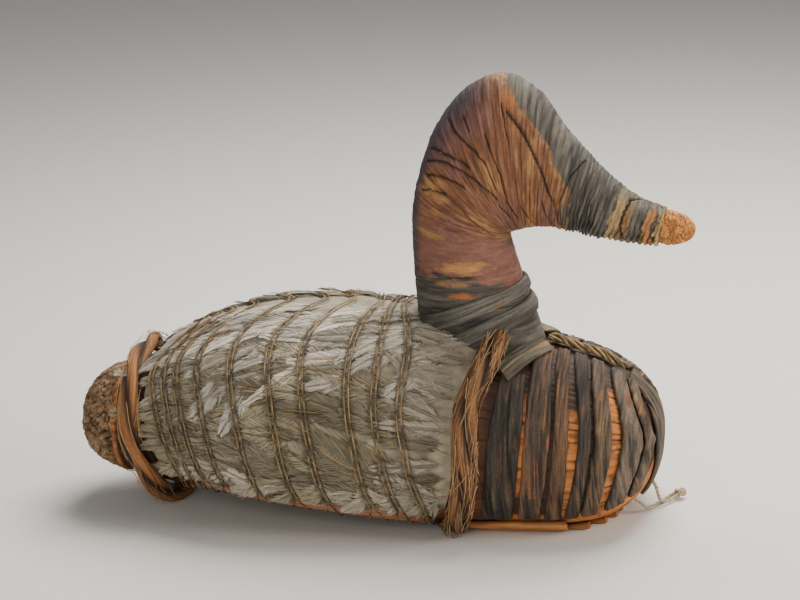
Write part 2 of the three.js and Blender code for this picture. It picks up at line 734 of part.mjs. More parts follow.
function add(name, geometry, colour, roughness) {
  const material = new THREE.MeshStandardMaterial({ color: colour, roughness, metalness: 0 });
  const mesh = new THREE.Mesh(geometry, material);
  mesh.name = name;
  group.add(mesh);
}

const bodyClear = solid(bodyGeometry(GAP));
const girdleClear = solid(ropeGeometry(GIRDLE_AT, GIRDLE_RADIUS, GIRDLE_FLATTENING, ROPE_CLEAR, false));
const neckSolid = largest(solid(neckGeometry(0, WRAP_RIDGE)).subtract(bodyClear).subtract(girdleClear));
const bandClear = WRAP_RIDGE + GAP * 5 + BAND_THICK;
const neckFootClear = solid(neckGeometry(bandClear, 0));

add('tule_body', bodyGeometry(0), '#8a6238', 0.9);
add('head_and_neck', shape(neckSolid), '#7a4f3e', 0.85);
add('bill_tip', billTipGeometry(), '#c48f50', 0.9);
add('girdle_rope', ropeGeometry(GIRDLE_AT, GIRDLE_RADIUS, GIRDLE_FLATTENING), '#8f6b48', 0.95);
add('tail_rope', ropeGeometry(TAIL_ROPE_AT, TAIL_ROPE_RADIUS, TAIL_ROPE_FLATTENING), '#93704c', 0.95);
const coatSolid = largest(solid(coatGeometry()).subtract(neckFootClear).subtract(bodyClear));
add('feather_coat', shape(coatSolid), '#cfc8b8', 0.95);
add('lashing_cord', lashingGeometry(), '#a08a66', 0.95);

NECK_BANDS.forEach((mean, i) => {
  const band = largest(solid(neckBandGeometry(mean)).subtract(bodyClear).subtract(girdleClear));
  add(`neck_band_${i + 1}`, shape(band), '#5b5148', 0.9);
});
[-1, 1].forEach((hand) => {
  const side = hand < 0 ? 'right' : 'left';
  const lowBand = solid(lowBandGeometry(hand)).subtract(neckFootClear).subtract(girdleClear);
  add(`neck_band_low_${side}`, shape(largest(lowBand)), '#57503f', 0.9);
  add(`edge_stem_${side}`, edgeStemGeometry(hand), '#a4714a', 0.9);
  STRIPS.forEach((strip, i) => {
    const cut = solid(stripGeometry(strip, hand)).subtract(neckFootClear);
    add(`breast_strip_${side}_${i + 1}`, shape(largest(cut)), i === 2 ? '#7d6a4c' : '#474039', 0.9);
  });
});
add('breast_strip_front', frontStripGeometry(), '#5a4c3c', 0.9);
for (let i = 0; i < SOLE_STEMS; i++) {
  add(`sole_stem_${i + 1}`, soleStemGeometry(i), '#c27c42', 0.85);
}
add('breast_tie', shape(largest(solid(tieGeometry()).subtract(neckFootClear))), '#6a5034', 0.95);
add('anchor_cord_upper', strandGeometry(UPPER_STRAND), '#b3a68f', 0.95);
add('anchor_cord_lower', strandGeometry(LOWER_STRAND), '#b3a68f', 0.95);
add('anchor_knot', knotGeometry(), '#b3a68f', 0.95);

export default group;
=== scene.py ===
"""A duck decoy of bundled tule reeds: painted head and breast, rope girdles and a coat of lashed feathers.

Sizes and places are in millimetres, +X towards the bill and +Z up, and a mesh is turned to metres when it is made.
Every piece is one or more parts, and a part is worked out as whole arrays: points, faces, a colour for each point
(tone) and, for each corner of a face, how far along and across the fibres it lies (grain).
"""

import bpy
import numpy as np
from mathutils import Matrix


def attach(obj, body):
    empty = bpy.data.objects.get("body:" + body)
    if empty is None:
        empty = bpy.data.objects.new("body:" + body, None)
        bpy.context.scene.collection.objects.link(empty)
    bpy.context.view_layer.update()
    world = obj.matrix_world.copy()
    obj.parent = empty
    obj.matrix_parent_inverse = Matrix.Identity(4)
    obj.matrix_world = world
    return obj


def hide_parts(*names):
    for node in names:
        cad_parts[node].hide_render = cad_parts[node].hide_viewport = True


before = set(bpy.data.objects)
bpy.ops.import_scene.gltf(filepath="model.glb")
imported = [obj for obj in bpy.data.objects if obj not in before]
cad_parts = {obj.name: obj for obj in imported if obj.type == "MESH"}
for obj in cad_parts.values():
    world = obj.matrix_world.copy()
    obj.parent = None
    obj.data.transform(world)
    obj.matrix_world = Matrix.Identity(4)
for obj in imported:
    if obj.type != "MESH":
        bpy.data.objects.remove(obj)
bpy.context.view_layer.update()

MM = 0.001

# Gap between pieces that touch, and the height over the smooth body at which a piece clears it.
GAP = 0.35
REST = 0.85

# Reed body: where it ends, how long the rounded ends are and how blunt.
TAIL_END, TAIL_ROUND, TAIL_BLUNT = -158.5, 32, 2.6
BREAST_END, BREAST_ROUND, BREAST_BLUNT = 138.4, 56, 2.6
UPPER_SQUARENESS = 2.1
SOLE_SOFTNESS = 1.4

# Neck, head and bill: the outline seen from the side, in pairs across each wrap from the nape to the throat.
NAPE_SIDE = [
    (23.9, 78), (19.8, 101), (18.4, 120), (18, 138), (18.6, 156), (23, 175.4), (31.8, 197.8),
    (46.4, 215.8), (66, 223.6), (83, 214.2), (95, 197), (106.6, 183), (117.2, 172), (130.4, 162), (144.2, 156.6),
]
THROAT_SIDE = [
    (85, 80), (77.4, 105), (72, 121), (67.6, 136.5), (66.2, 143), (66.9, 144.6), (67.9, 144.9),
    (69.9, 145.2), (72.9, 146), (77.9, 147), (86.3, 147.3), (96.2, 146), (107, 143.6), (123.1, 140.8), (140.2, 138.8),
]
NECK_HALF_WIDTH = [26, 24, 22, 21.5, 22, 22.5, 22.5, 21.5, 20, 18.5, 17, 15.2, 13.6, 11.4, 9.2]
NECK_END = 0.997
TIP_LENGTH = 16.1
TIP_RISE = 0.06

# Anchor cord: its radius, its knot, and the two strands that run from the breast to it.
CORD_RADIUS = 1.0
KNOT = (147, 16.5, 3.3)
KNOT_RADIUS = 3.3
UPPER_STRAND = [
    (133.9, 1.2, 15.7), (135.4, 1.4, 14.1), (136.6, 1.7, 11.2), (137.4, 2.1, 7.8), (138.1, 2.9, 4.9),
    (139.4, 4.6, 3), (141.3, 7.4, 2), (143.3, 10.4, 1.9), (145.5, 13.3, 2.6),
]
LOWER_STRAND = [
    (126.8, -8, 8.5), (129.1, -7.6, 7.1), (131.2, -6.6, 4.7), (132.8, -4.1, 2.5), (134.4, 0, 1.4),
    (136.6, 4.8, 1.2), (139.4, 10, 1.4), (143.2, 15.3, 2.7),
]


def colour(code):
    """An sRGB hex value as linear red, green and blue, by the sRGB curve."""
    channels = np.array([int(code[i:i + 2], 16) for i in (1, 3, 5)]) / 255
    return np.where(channels <= 0.04045, channels / 12.92, ((channels + 0.055) / 1.055) ** 2.4)


def mix(first, second, part):
    """Blends two colours or two arrays of colours: first where part is 0, second where it is 1."""
    part = np.clip(part, 0, 1)[..., None]
    return first * (1 - part) + second * part


def step(low, high, value):
    """Eases from 0 below low to 1 above high, by 3t^2 - 2t^3."""
    t = np.clip((value - low) / (high - low), 0, 1)
    return t * t * (3 - 2 * t)


def noise(u, v, seed, around=256):
    """Soft noise from -1 to 1: random heights on a lattice of whole numbers, joined by eased blends.
    It repeats after `around` cells of v, so that it meets itself on a closed surface."""
    heights = np.random.default_rng(seed).uniform(-1, 1, (256, 256))
    u, v = np.broadcast_arrays(np.asarray(u, float), np.asarray(v, float))
    row, column = np.floor(u).astype(int), np.floor(v).astype(int)
    down, over = step(0, 1, u - row), step(0, 1, v - column)
    top = heights[row % 256, column % around] * (1 - over) + heights[row % 256, (column + 1) % around] * over
    row = row + 1
    foot = heights[row % 256, column % around] * (1 - over) + heights[row % 256, (column + 1) % around] * over
    return top * (1 - down) + foot * down


def layered(u, v, seed, layers=4, around=16):
    """Noise in layers, each twice as fine and half as strong as the one before."""
    total = sum(noise(u * 2 ** k, v * 2 ** k, seed + k, min(around * 2 ** k, 256)) / 2 ** k for k in range(layers))
    return total / (2 - 2 ** (1 - layers))


def cells(u, v, seed):
    """Scattered cells, with one centre strayed at random in each square of a lattice. Gives how far each place is
    from the edge of its cell, and the cell's own two random numbers."""
    spots = np.random.default_rng(seed).random((64, 64, 4))
    row, column = np.floor(u).astype(int), np.floor(v).astype(int)
    nearest, second = np.full(u.shape, 9.0), np.full(u.shape, 9.0)
    own = np.zeros(u.shape + (2,))
    for i in (-1, 0, 1):
        for j in (-1, 0, 1):
            spot = spots[(row + i) % 64, (column + j) % 64]
            away = np.hypot(row + i + spot[..., 0] - u, column + j + spot[..., 1] - v)
            second = np.minimum(second, np.maximum(nearest, away))
            own = np.where((away < nearest)[..., None], spot[..., 2:], own)
            nearest = np.minimum(nearest, away)
    return second - nearest, own


def smooth(xs, ys):
    """A curve through (xs, ys): cubic stretches whose slopes come from the neighbouring points, level outside."""
    xs, ys = np.array(xs, float), np.array(ys, float)
    order = np.arange(len(xs))
    before, after = np.maximum(order - 1, 0), np.minimum(order + 1, len(xs) - 1)
    slopes = (ys[after] - ys[before]) / (xs[after] - xs[before])

    def curve(x):
        i = np.clip(np.searchsorted(xs, x, side="right") - 1, 0, len(xs) - 2)
        span = xs[i + 1] - xs[i]
        t = np.clip((x - xs[i]) / span, 0, 1)
        rise = ys[i] * (1 + 2 * t) * (1 - t) ** 2 + ys[i + 1] * t ** 2 * (3 - 2 * t)
        return rise + span * (slopes[i] * t * (1 - t) ** 2 - slopes[i + 1] * t ** 2 * (1 - t))

    return curve


def through(places):
    """A curve through places for a part from 0 to 1, even in the places: cubic stretches with the slope at each
    place half the step between its neighbours, and the end steps continued past both ends."""
    places = np.array(places, float)
    places = np.vstack([2 * places[0] - places[1], places, 2 * places[-1] - places[-2]])
    last = len(places) - 3

    def curve(part):
        spot = np.clip(part, 0, 1) * last
        i = np.minimum(np.floor(spot).astype(int), last - 1)
        t = (spot - i)[..., None]
        before, start, end, after = places[i], places[i + 1], places[i + 2], places[i + 3]
        stretch = (2 * t ** 3 - 3 * t ** 2 + 1) * start + (3 * t ** 2 - 2 * t ** 3) * end
        return stretch + (t ** 3 - 2 * t ** 2 + t) * (end - before) / 2 + (t ** 3 - t ** 2) * (after - start) / 2

    return curve


STATIONS = [-159, -124, -108, -85, -50, 0, 45, 90, 140]
half_width = smooth(STATIONS, [36, 36, 38, 47, 56.5, 58.5, 55, 53, 51])
widest_at = smooth(STATIONS, [43, 44, 46, 49, 52, 49, 46, 44, 41])
back_height = smooth(STATIONS, [70, 74, 84, 95, 103.5, 104, 97, 85.5, 75])
belly_height = smooth(STATIONS, [17, 12, 8.4, 10, 7, 1, -3, -4, -2])
sole_height = smooth(STATIONS, [10.5, 7.4, 7.4, 16.5, 16.5, 10.5, 4.6, 2.7, 2.7])
lower_squareness = smooth(STATIONS, [1.9, 1.9, 1.85, 2.4, 3, 3, 2.6, 2.4, 2.4])


def eased_to_sole(x, z):
    """Heights that would fall below the flat underside are eased up to it, by
    sole + softness * ln(1 + e^(over / softness))."""
    return sole_height(x) + SOLE_SOFTNESS * np.logaddexp(0, (z - sole_height(x)) / SOLE_SOFTNESS)


def openness(x):
    """How far the body's section is open at x: 1 along the middle, closing to 0 at both ends by a blunt ellipse."""
    tail = np.clip((TAIL_END + TAIL_ROUND - x) / TAIL_ROUND, 0, 1)
    breast = np.clip((x - BREAST_END + BREAST_ROUND) / BREAST_ROUND, 0, 1)
    return (1 - tail ** TAIL_BLUNT) ** (1 / TAIL_BLUNT) * (1 - breast ** BREAST_BLUNT) ** (1 / BREAST_BLUNT)


def flank(x, degrees):
    """The body's surface at x, turned from the back (0) over the flank (-90 on the right, 90 on the left): a squared
    ellipse, wider or narrower and higher or lower along the body, pressed flat underneath."""
    x, degrees = np.broadcast_arrays(np.asarray(x, float), np.asarray(degrees, float))
    sideways, upwards = np.sin(np.radians(degrees)), np.cos(np.radians(degrees))
    upper = upwards > 0
    power = 2 / np.where(upper, UPPER_SQUARENESS, lower_squareness(x))
    reach = np.where(upper, back_height(x) - widest_at(x), widest_at(x) - belly_height(x)) * openness(x)
    y = half_width(x) * openness(x) * np.sign(sideways) * np.abs(sideways) ** power
    z = widest_at(x) + reach * np.sign(upwards) * np.abs(upwards) ** power
    return np.stack([x, y, eased_to_sole(x, z)], -1)


def underside(x, y):
    """The flat underside over a point of the table: the lower half of the same squared ellipse."""
    x, y = np.broadcast_arrays(np.asarray(x, float), np.asarray(y, float))
    squareness = lower_squareness(x)
    across = np.clip(np.abs(y) / (half_width(x) * openness(x)), 0, 1)
    reach = (belly_height(x) - widest_at(x)) * openness(x)
    z = widest_at(x) + reach * (1 - across ** squareness) ** (1 / squareness)
    return np.stack([x, y, eased_to_sole(x, z)], -1)


nape_side, throat_side = through(NAPE_SIDE), through(THROAT_SIDE)
neck_half_width = smooth(range(len(NECK_HALF_WIDTH)), NECK_HALF_WIDTH)


def neck(along, degrees):
    """The wrapped neck, from the body (0) to the bill (1) and round it from the nape (0) to the throat (180): an
    ellipse whose one axis joins the two side outlines, with the neck's half width as the other."""
    along, degrees = np.broadcast_arrays(np.asarray(along, float), np.asarray(degrees, float))
    outer, inner = nape_side(along), throat_side(along)
    middle = (outer + inner) / 2
    turned = np.radians(degrees)
    side = middle + (outer - middle) * np.cos(turned)[..., None]
    wide = neck_half_width(along * (len(NECK_HALF_WIDTH) - 1)) * np.sin(turned)
    return np.stack([side[..., 0], wide, side[..., 1]], -1)


def outward(surface, u, v):
    """The outward direction of a surface: the cross product of small steps both ways."""
    du = 0.002 if surface is neck else 0.1
    along = surface(u + du, v) - surface(u - du, v)
    across = surface(u, v + 0.1) - surface(u, v - 0.1)
    away = np.cross(along, across) * (-1 if surface is underside else 1)
    return away / np.maximum(np.linalg.norm(away, axis=-1, keepdims=True), 1e-9)


def raised(surface, u, v, height):
    """Points of a surface moved out along its outward direction by a height."""
    return surface(u, v) + outward(surface, u, v) * np.asarray(height)[..., None]


def grid(points, tones, grain, wraps=(False, False), poles=False):
    """Faces between the neighbours of a grid of points. Where it wraps, the last row or column is the first again
    and only its grain differs. With poles, the first and the last row are single points."""
    rows, columns = points.shape[:2]
    own = np.arange(rows * columns).reshape(rows, columns)
    shared = own.copy()
    if wraps[0]:
        shared[-1] = shared[0]
    if wraps[1]:
        shared[:, -1] = shared[:, 0]
    if poles:
        shared[0], shared[-1] = shared[0, 0], shared[-1, 0]
    corners = [(slice(0, -1), slice(0, -1)), (slice(1, None), slice(0, -1)), (slice(1, None), slice(1, None)),
               (slice(0, -1), slice(1, None))]
    faces = np.stack([shared[corner] for corner in corners], -1)
    places = np.stack([own[corner] for corner in corners], -1)
    if poles:
        faces[-1], places[-1] = faces[-1][:, [0, 1, 3, 3]], places[-1][:, [0, 1, 3, 3]]
        faces[0, :, 3] = faces[-1, :, 3] = -1
    faces, places = faces.reshape(-1, 4), places.reshape(-1, 4)
    used, numbers = np.unique(faces[faces >= 0], return_inverse=True)
    faces[faces >= 0] = numbers.reshape(-1)
    part = (points.reshape(-1, 3)[used], faces, tones.reshape(-1, 3)[used], grain.reshape(-1, 2)[places])
    return faced_out(part)


def faced_out(part):
    """Turns a closed part's faces outwards if the volume that they bound comes out negative."""
    points, faces, tones, grain = part
    first, second, third = (points[faces[:, k]] for k in range(3))
    fourth = points[np.where(faces[:, 3] < 0, faces[:, 2], faces[:, 3])]
    volume = (first * (np.cross(second, third) + np.cross(third, fourth))).sum()
    if volume > 0:
        return part
    order = np.where(faces[:, 3:] < 0, [[0, 2, 1, 3]], [[0, 3, 2, 1]])
    return points, np.take_along_axis(faces, order, 1), tones, np.take_along_axis(grain, order[..., None], 1)


def join(parts):
    """One part made of several, with the numbers of the faces' corners moved on."""
    starts = np.cumsum([0] + [len(part[0]) for part in parts])
    faces = [np.where(part[1] < 0, -1, part[1] + start) for part, start in zip(parts, starts)]
    return tuple(np.concatenate(arrays) for arrays in (
        [part[0] for part in parts], faces, [part[2] for part in parts], [part[3] for part in parts]))


def tubes(paths, ups, wide, thick, tones, sides=3, spin=0.0):
    """Many closed tubes at once, one along each path. Round every point of a path lies an oval ring, wide across and
    thick along `ups`, turned by spin, and both ends close in one point."""
    count, length = paths.shape[:2]
    ahead = np.gradient(paths, axis=1)
    ahead /= np.maximum(np.linalg.norm(ahead, axis=-1, keepdims=True), 1e-9)
    across = np.cross(ahead, ups)
    across /= np.maximum(np.linalg.norm(across, axis=-1, keepdims=True), 1e-9)
    off = np.cross(across, ahead)
    turn = np.linspace(0, 2 * np.pi, sides, endpoint=False) + np.zeros((count, length, 1)) + np.asarray(spin)[..., None]
    rings = (paths[:, :, None] + across[:, :, None] * (np.cos(turn) * wide[..., None])[..., None]
             + off[:, :, None] * (np.sin(turn) * thick[..., None])[..., None])
    points = np.concatenate([paths[:, :1], rings[:, 1:-1].reshape(count, -1, 3), paths[:, -1:]], 1)
    per_tube = points.shape[1]
    run = np.concatenate([np.zeros((count, 1)), np.cumsum(np.linalg.norm(np.diff(paths, axis=1), axis=-1), 1)], 1)
    ring_tones = np.repeat(tones[:, 1:-1], sides, 1)
    point_tones = np.concatenate([tones[:, :1], ring_tones, tones[:, -1:]], 1)
    number = 1 + np.arange((length - 2) * sides).reshape(length - 2, sides)
    after = np.roll(number, -1, 1)
    middle = np.stack([number[:-1], number[1:], after[1:], after[:-1]], -1).reshape(-1, 4)
    none = np.full(sides, -1)
    start = np.stack([np.zeros(sides, int), number[0], after[0], none], -1)
    end = np.stack([number[-1], np.full(sides, per_tube - 1), after[-1], none], -1)
    faces = np.concatenate([start, middle, end])
    level = np.concatenate([[0], np.repeat(np.arange(1, length - 1), sides), [length - 1]])
    column = np.tile(np.arange(sides), length - 1)
    size = float(np.mean(wide)) * 2 * np.pi / sides
    across_at = np.stack([column, column, column + 1, column + 1], -1) * size
    grain = np.stack([run[:, level][:, faces], np.broadcast_to(across_at, (count,) + across_at.shape)], -1)
    faces = np.where(faces < 0, -1, faces + np.arange(count)[:, None, None] * per_tube)
    part = (points.reshape(-1, 3), faces.reshape(-1, 4), point_tones.reshape(-1, 3), grain.reshape(-1, 4, 2))
    return faced_out(part)


def strap(surface, us, vs, low, high, tones, grain, under=4, floor=None):
    """A closed strap on a surface. Its upper side has the given places and heights, its lower side lies at one
    height under every few of them, and both ends close in one point."""
    top = raised(surface, us, vs, high)
    picked = np.unique(np.append(np.arange(0, us.shape[1], under), us.shape[1] - 1))[::-1]
    foot = raised(surface, us[:, picked], vs[:, picked], np.full((len(us), len(picked)), low))
    ring = np.concatenate([top, foot, top[:, :1]], 1)
    if floor is not None:
        ring[..., 2] = np.maximum(ring[..., 2], floor)
    # The lower side takes the upper side's colours at 0.6: painted shade underneath.
    shades = np.concatenate([tones, tones[:, picked] * 0.6, tones[:, :1]], 1)
    places = np.concatenate([grain, grain[:, picked], grain[:, :1]], 1)
    ends = [np.broadcast_to(ring[i].mean(0), ring[i].shape)[None] for i in (0, -1)]
    ring = np.concatenate([ends[0], ring, ends[1]])
    shades = np.concatenate([shades[:1], shades, shades[-1:]])
    places = np.concatenate([places[:1], places, places[-1:]])
    return grid(ring, shades, places, wraps=(False, True), poles=True)


def piece(name, parts, material, slot, *nodes):
    """Makes an object of parts that rides on the root body and stands for the named solids."""
    points, faces, tones, grain = join(parts) if isinstance(parts, list) else parts
    kept = faces >= 0
    mesh = bpy.data.meshes.new(name)
    mesh.vertices.add(len(points))
    mesh.vertices.foreach_set("co", (points * MM).astype(np.float32).ravel())
    mesh.loops.add(int(kept.sum()))
    mesh.loops.foreach_set("vertex_index", faces[kept].astype(np.int32))
    mesh.polygons.add(len(faces))
    starts = np.concatenate([[0], np.cumsum(kept.sum(1))[:-1]])
    mesh.polygons.foreach_set("loop_start", starts.astype(np.int32))
    mesh.update(calc_edges=True)
    tone = mesh.color_attributes.new("tone", "FLOAT_COLOR", "POINT")
    tone.data.foreach_set("color", np.column_stack([tones, np.ones(len(tones))]).astype(np.float32).ravel())
    layer = mesh.uv_layers.new(name="grain")
    layer.data.foreach_set("uv", grain[kept].astype(np.float32).ravel())
    mesh.shade_smooth()
    mesh.materials.append(material)
    made = bpy.data.objects.new(name, mesh)
    bpy.context.scene.collection.objects.link(made)
    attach(made, "root")
    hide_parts(*nodes)
    return made


def add_node(tree, kind, inputs, **settings):
    """Adds a node: settings are its own options, and each input takes a value or another node's output."""
    made = tree.nodes.new(kind)
    for option, value in settings.items():
        setattr(made, option, value)
    for socket, value in inputs.items():
        if isinstance(value, bpy.types.NodeSocket):
            tree.links.new(value, made.inputs[socket])
        else:
            made.inputs[socket].default_value = value
    return made


def finish(name, fibre, contrast, relief, roughness, speck=1.2, sheen=0.0):
    """A material on the piece's own tone. Fibres are noise stretched along the grain, `fibre` mm long and wide, and
    specks are even noise `speck` mm across. Both darken and lighten the tone by contrast, and the fibres stand up
    by relief, in mm."""
    material = bpy.data.materials.new(name)
    material.use_nodes = True
    tree = material.node_tree
    shader = tree.nodes["Principled BSDF"]
    tone = add_node(tree, "ShaderNodeAttribute", {}, attribute_name="tone")
    grain = add_node(tree, "ShaderNodeUVMap", {}, uv_map="grain")
    along = add_node(tree, "ShaderNodeMapping", {
        "Vector": grain.outputs["UV"], "Scale": (1 / fibre[0], 1 / fibre[1], 1)})
    fibres = add_node(tree, "ShaderNodeTexNoise", {
        "Vector": along.outputs["Vector"], "Scale": 1.0, "Detail": 3.0, "Roughness": 0.6})
    places = add_node(tree, "ShaderNodeTexCoord", {})
    specks = add_node(tree, "ShaderNodeTexNoise", {
        "Vector": places.outputs["Object"], "Scale": 1 / (speck * MM), "Detail": 2.0})
    streak = add_node(tree, "ShaderNodeMapRange", {
        "Value": fibres.outputs["Fac"], "From Min": 0.3, "From Max": 0.7,
        "To Min": 1 - contrast, "To Max": 1 + contrast})
    fleck = add_node(tree, "ShaderNodeMapRange", {
        "Value": specks.outputs["Fac"], "From Min": 0.3, "From Max": 0.7,
        "To Min": 1 - contrast / 2, "To Max": 1 + contrast / 2})
    shade = add_node(tree, "ShaderNodeMath", {
        0: streak.outputs["Result"], 1: fleck.outputs["Result"]}, operation="MULTIPLY")
    shaded = add_node(tree, "ShaderNodeVectorMath", {
        0: tone.outputs["Color"], "Scale": shade.outputs["Value"]}, operation="SCALE")
    dull = add_node(tree, "ShaderNodeMapRange", {
        "Value": fibres.outputs["Fac"], "From Min": 0.3, "From Max": 0.7,
        "To Min": roughness + 0.08, "To Max": roughness - 0.08})
    bump = add_node(tree, "ShaderNodeBump", {
        "Height": fibres.outputs["Fac"], "Distance": relief * MM, "Strength": 1.0})
    tree.links.new(shaded.outputs["Vector"], shader.inputs["Base Color"])
    tree.links.new(dull.outputs["Result"], shader.inputs["Roughness"])
    tree.links.new(bump.outputs["Normal"], shader.inputs["Normal"])
    shader.inputs["Sheen Weight"].default_value = sheen
    return material


# Dry whole tule stems: smooth skin that has gone dull, with long fine ribs.
dry_tule = finish("dry tule stems", fibre=(22, 0.7), contrast=0.16, relief=0.25, roughness=0.66)
# Split tule wound tight and rubbed with earth paint: matt, streaked along each wrap.
painted_tule = finish("earth-painted split tule", fibre=(9, 0.6), contrast=0.24, relief=0.3, roughness=0.78)
# Cut ends of tule: open cork-like pith that scatters light.
tule_pith = finish("bare tule pith", fibre=(2.5, 1.1), contrast=0.3, relief=0.5, roughness=0.85)
# Charcoal-dark paint worn off flat tule strips: matt, with the grain of the stem coming through.
worn_paint = finish("worn dark paint on tule", fibre=(16, 0.55), contrast=0.36, relief=0.4, roughness=0.8)
# Shredded bark and tule twisted by hand into rope: dry, with loose fibres catching the light.
bast_rope = finish("hand-twisted bast rope", fibre=(14, 0.55), contrast=0.3, relief=0.4, roughness=0.75)
# Old goose feathers: fine parallel barbs with a soft edge of light.
feather = finish("old white goose feathers", fibre=(6, 0.35), contrast=0.12, relief=0.08, roughness=0.7, sheen=0.25)
# Thin spun plant-fibre cord: pale and dull.
spun_fibre = finish("spun plant-fibre cord", fibre=(3, 0.35), contrast=0.2, relief=0.12, roughness=0.8)


# Camera: its direction round and up from the side of the decoy, its roll, and how far it stands from its target.
CAMERA_ROUND, CAMERA_UP, CAMERA_ROLL = np.radians([12, 17, 2.4])
CAMERA_TARGET = np.array([9.62, 0, 107.46])
CAMERA_AWAY = 1400
CAMERA_LENS = 126
SENSOR_WIDTH = 36

flat = np.cos(CAMERA_UP)
back = np.array([np.sin(CAMERA_ROUND) * flat, -np.cos(CAMERA_ROUND) * flat, np.sin(CAMERA_UP)])
level = np.array([np.cos(CAMERA_ROUND), np.sin(CAMERA_ROUND), 0])
upright = np.cross(back, level)
view_right = level * np.cos(CAMERA_ROLL) - upright * np.sin(CAMERA_ROLL)
view_up = level * np.sin(CAMERA_ROLL) + upright * np.cos(CAMERA_ROLL)
camera = bpy.data.objects.new("camera", bpy.data.cameras.new("camera"))
bpy.context.scene.collection.objects.link(camera)
camera.data.lens = CAMERA_LENS
camera.data.sensor_width = SENSOR_WIDTH
camera.data.clip_end = 20
turned = np.column_stack([view_right, view_up, back, (CAMERA_TARGET + CAMERA_AWAY * back) * MM])
camera.matrix_world = Matrix(np.vstack([turned, [0, 0, 0, 1]]).tolist())
bpy.context.scene.camera = camera


def softbox(name, place, width, power, tint):
    """A square area light that faces the middle of the decoy."""
    light = bpy.data.lights.new(name, "AREA")
    light.size = width * MM
    light.energy = power
    light.color = colour(tint)
    lamp = bpy.data.objects.new(name, light)
    bpy.context.scene.collection.objects.link(lamp)
    away = np.array(place, float) - CAMERA_TARGET
    away /= np.linalg.norm(away)
    side = np.cross([0, 0.01, 1], away)
    side /= np.linalg.norm(side)
    turned = np.column_stack([side, np.cross(away, side), away, np.array(place) * MM])
    lamp.matrix_world = Matrix(np.vstack([turned, [0, 0, 0, 1]]).tolist())


softbox("overhead softbox", (150, 350, 800), 600, 15, "#fffaf2")
softbox("front softbox", (-100, -1100, 380), 900, 6, "#fff6ea")
softbox("right softbox", (900, -150, 480), 450, 7, "#fff4e6")
world = bpy.data.worlds.new("soft studio light")
world.use_nodes = True
world.node_tree.nodes["Background"].inputs["Color"].default_value = (*colour("#eef0f2"), 1)
world.node_tree.nodes["Background"].inputs["Strength"].default_value = 0.26
bpy.context.scene.world = world

FLOOR_HALF = 3000
floor_mesh = bpy.data.meshes.new("floor")
floor_mesh.from_pydata([(x * FLOOR_HALF * MM, y * FLOOR_HALF * MM, 0) for x, y in ((-1, -1), (1, -1), (1, 1), (-1, 1))],
                       [], [(0, 1, 2, 3)])
floor = bpy.data.objects.new("floor", floor_mesh)
bpy.context.scene.collection.objects.link(floor)
paper = bpy.data.materials.new("pale paper")
paper.use_nodes = True
paper.node_tree.nodes["Principled BSDF"].inputs["Base Color"].default_value = (*colour("#d9d8d5"), 1)
paper.node_tree.nodes["Principled BSDF"].inputs["Roughness"].default_value = 0.9
floor_mesh.materials.append(paper)


# Anchor cord: the upper strand runs down to the knot, turns inside it and comes back as the lower strand.
KNOT_TURNS = [(146.6, 15.6, 3.2), (147.4, 16.9, 3.6), (146.4, 17.4, 3.2), (145.2, 16.2, 2.9)]
anchor_route = np.array(UPPER_STRAND + KNOT_TURNS + LOWER_STRAND[::-1])
CORD_STEPS = 240
fine = through(anchor_route)(np.linspace(0, 1, 4000))
run = np.concatenate([[0], np.cumsum(np.linalg.norm(np.diff(fine, axis=0), axis=1))])
anchor_length = run[-1]
even = np.linspace(0, anchor_length, CORD_STEPS)
anchor_path = np.column_stack([np.interp(even, run, fine[:, k]) for k in range(3)])
CORD_PLY_PITCH = 4.5
ply_turn = even / CORD_PLY_PITCH * np.pi * 2
cord_tones = mix(colour("#b8aa8f"), colour("#8f8068"), 0.5 + 0.5 * noise(even / 1.3, 0, 11))[None]
cord_parts = []
for ply in (0, np.pi):
    ahead = np.gradient(anchor_path, axis=0)
    ahead /= np.linalg.norm(ahead, axis=1, keepdims=True)
    side = np.cross(ahead, [0.2, 0.1, 1])
    side /= np.linalg.norm(side, axis=1, keepdims=True)
    off = np.cross(side, ahead)
    shift = side * np.cos(ply_turn + ply)[:, None] + off * np.sin(ply_turn + ply)[:, None]
    path = (anchor_path + shift * CORD_RADIUS * 0.4)[None]
    ply_radius = np.full((1, CORD_STEPS), CORD_RADIUS * 0.6)
    cord_parts.append(tubes(path, off[None], ply_radius, ply_radius, cord_tones, sides=8))
anchor_cord = piece("anchor_cord_twisted", cord_parts, spun_fibre, "anchor_cord",
                    "anchor_cord_upper", "anchor_cord_lower")

# The knot: an overhand knot, the cord drawn tight round itself.
knot_turn = np.linspace(0, 2 * np.pi, 160)
knot_path = np.column_stack([
    np.sin(knot_turn) + 2 * np.sin(2 * knot_turn), np.cos(knot_turn) - 2 * np.cos(2 * knot_turn),
    -1.15 * np.sin(3 * knot_turn)]) * (KNOT_RADIUS - 1.1) / 3 + np.array(KNOT) * 1.0
knot_wide = np.full((1, 160), 1.15)
knot_tones = mix(colour("#b8aa8f"), colour("#85765c"), 0.5 + 0.5 * noise(knot_turn * 9, 0, 12))[None]
anchor_knot = piece("anchor_knot_tied", tubes(knot_path[None], np.broadcast_to([0.1, 0.2, 1.0], (1, 160, 3)), knot_wide,
                    knot_wide, knot_tones, sides=10), spun_fibre, "anchor_cord", "anchor_knot")


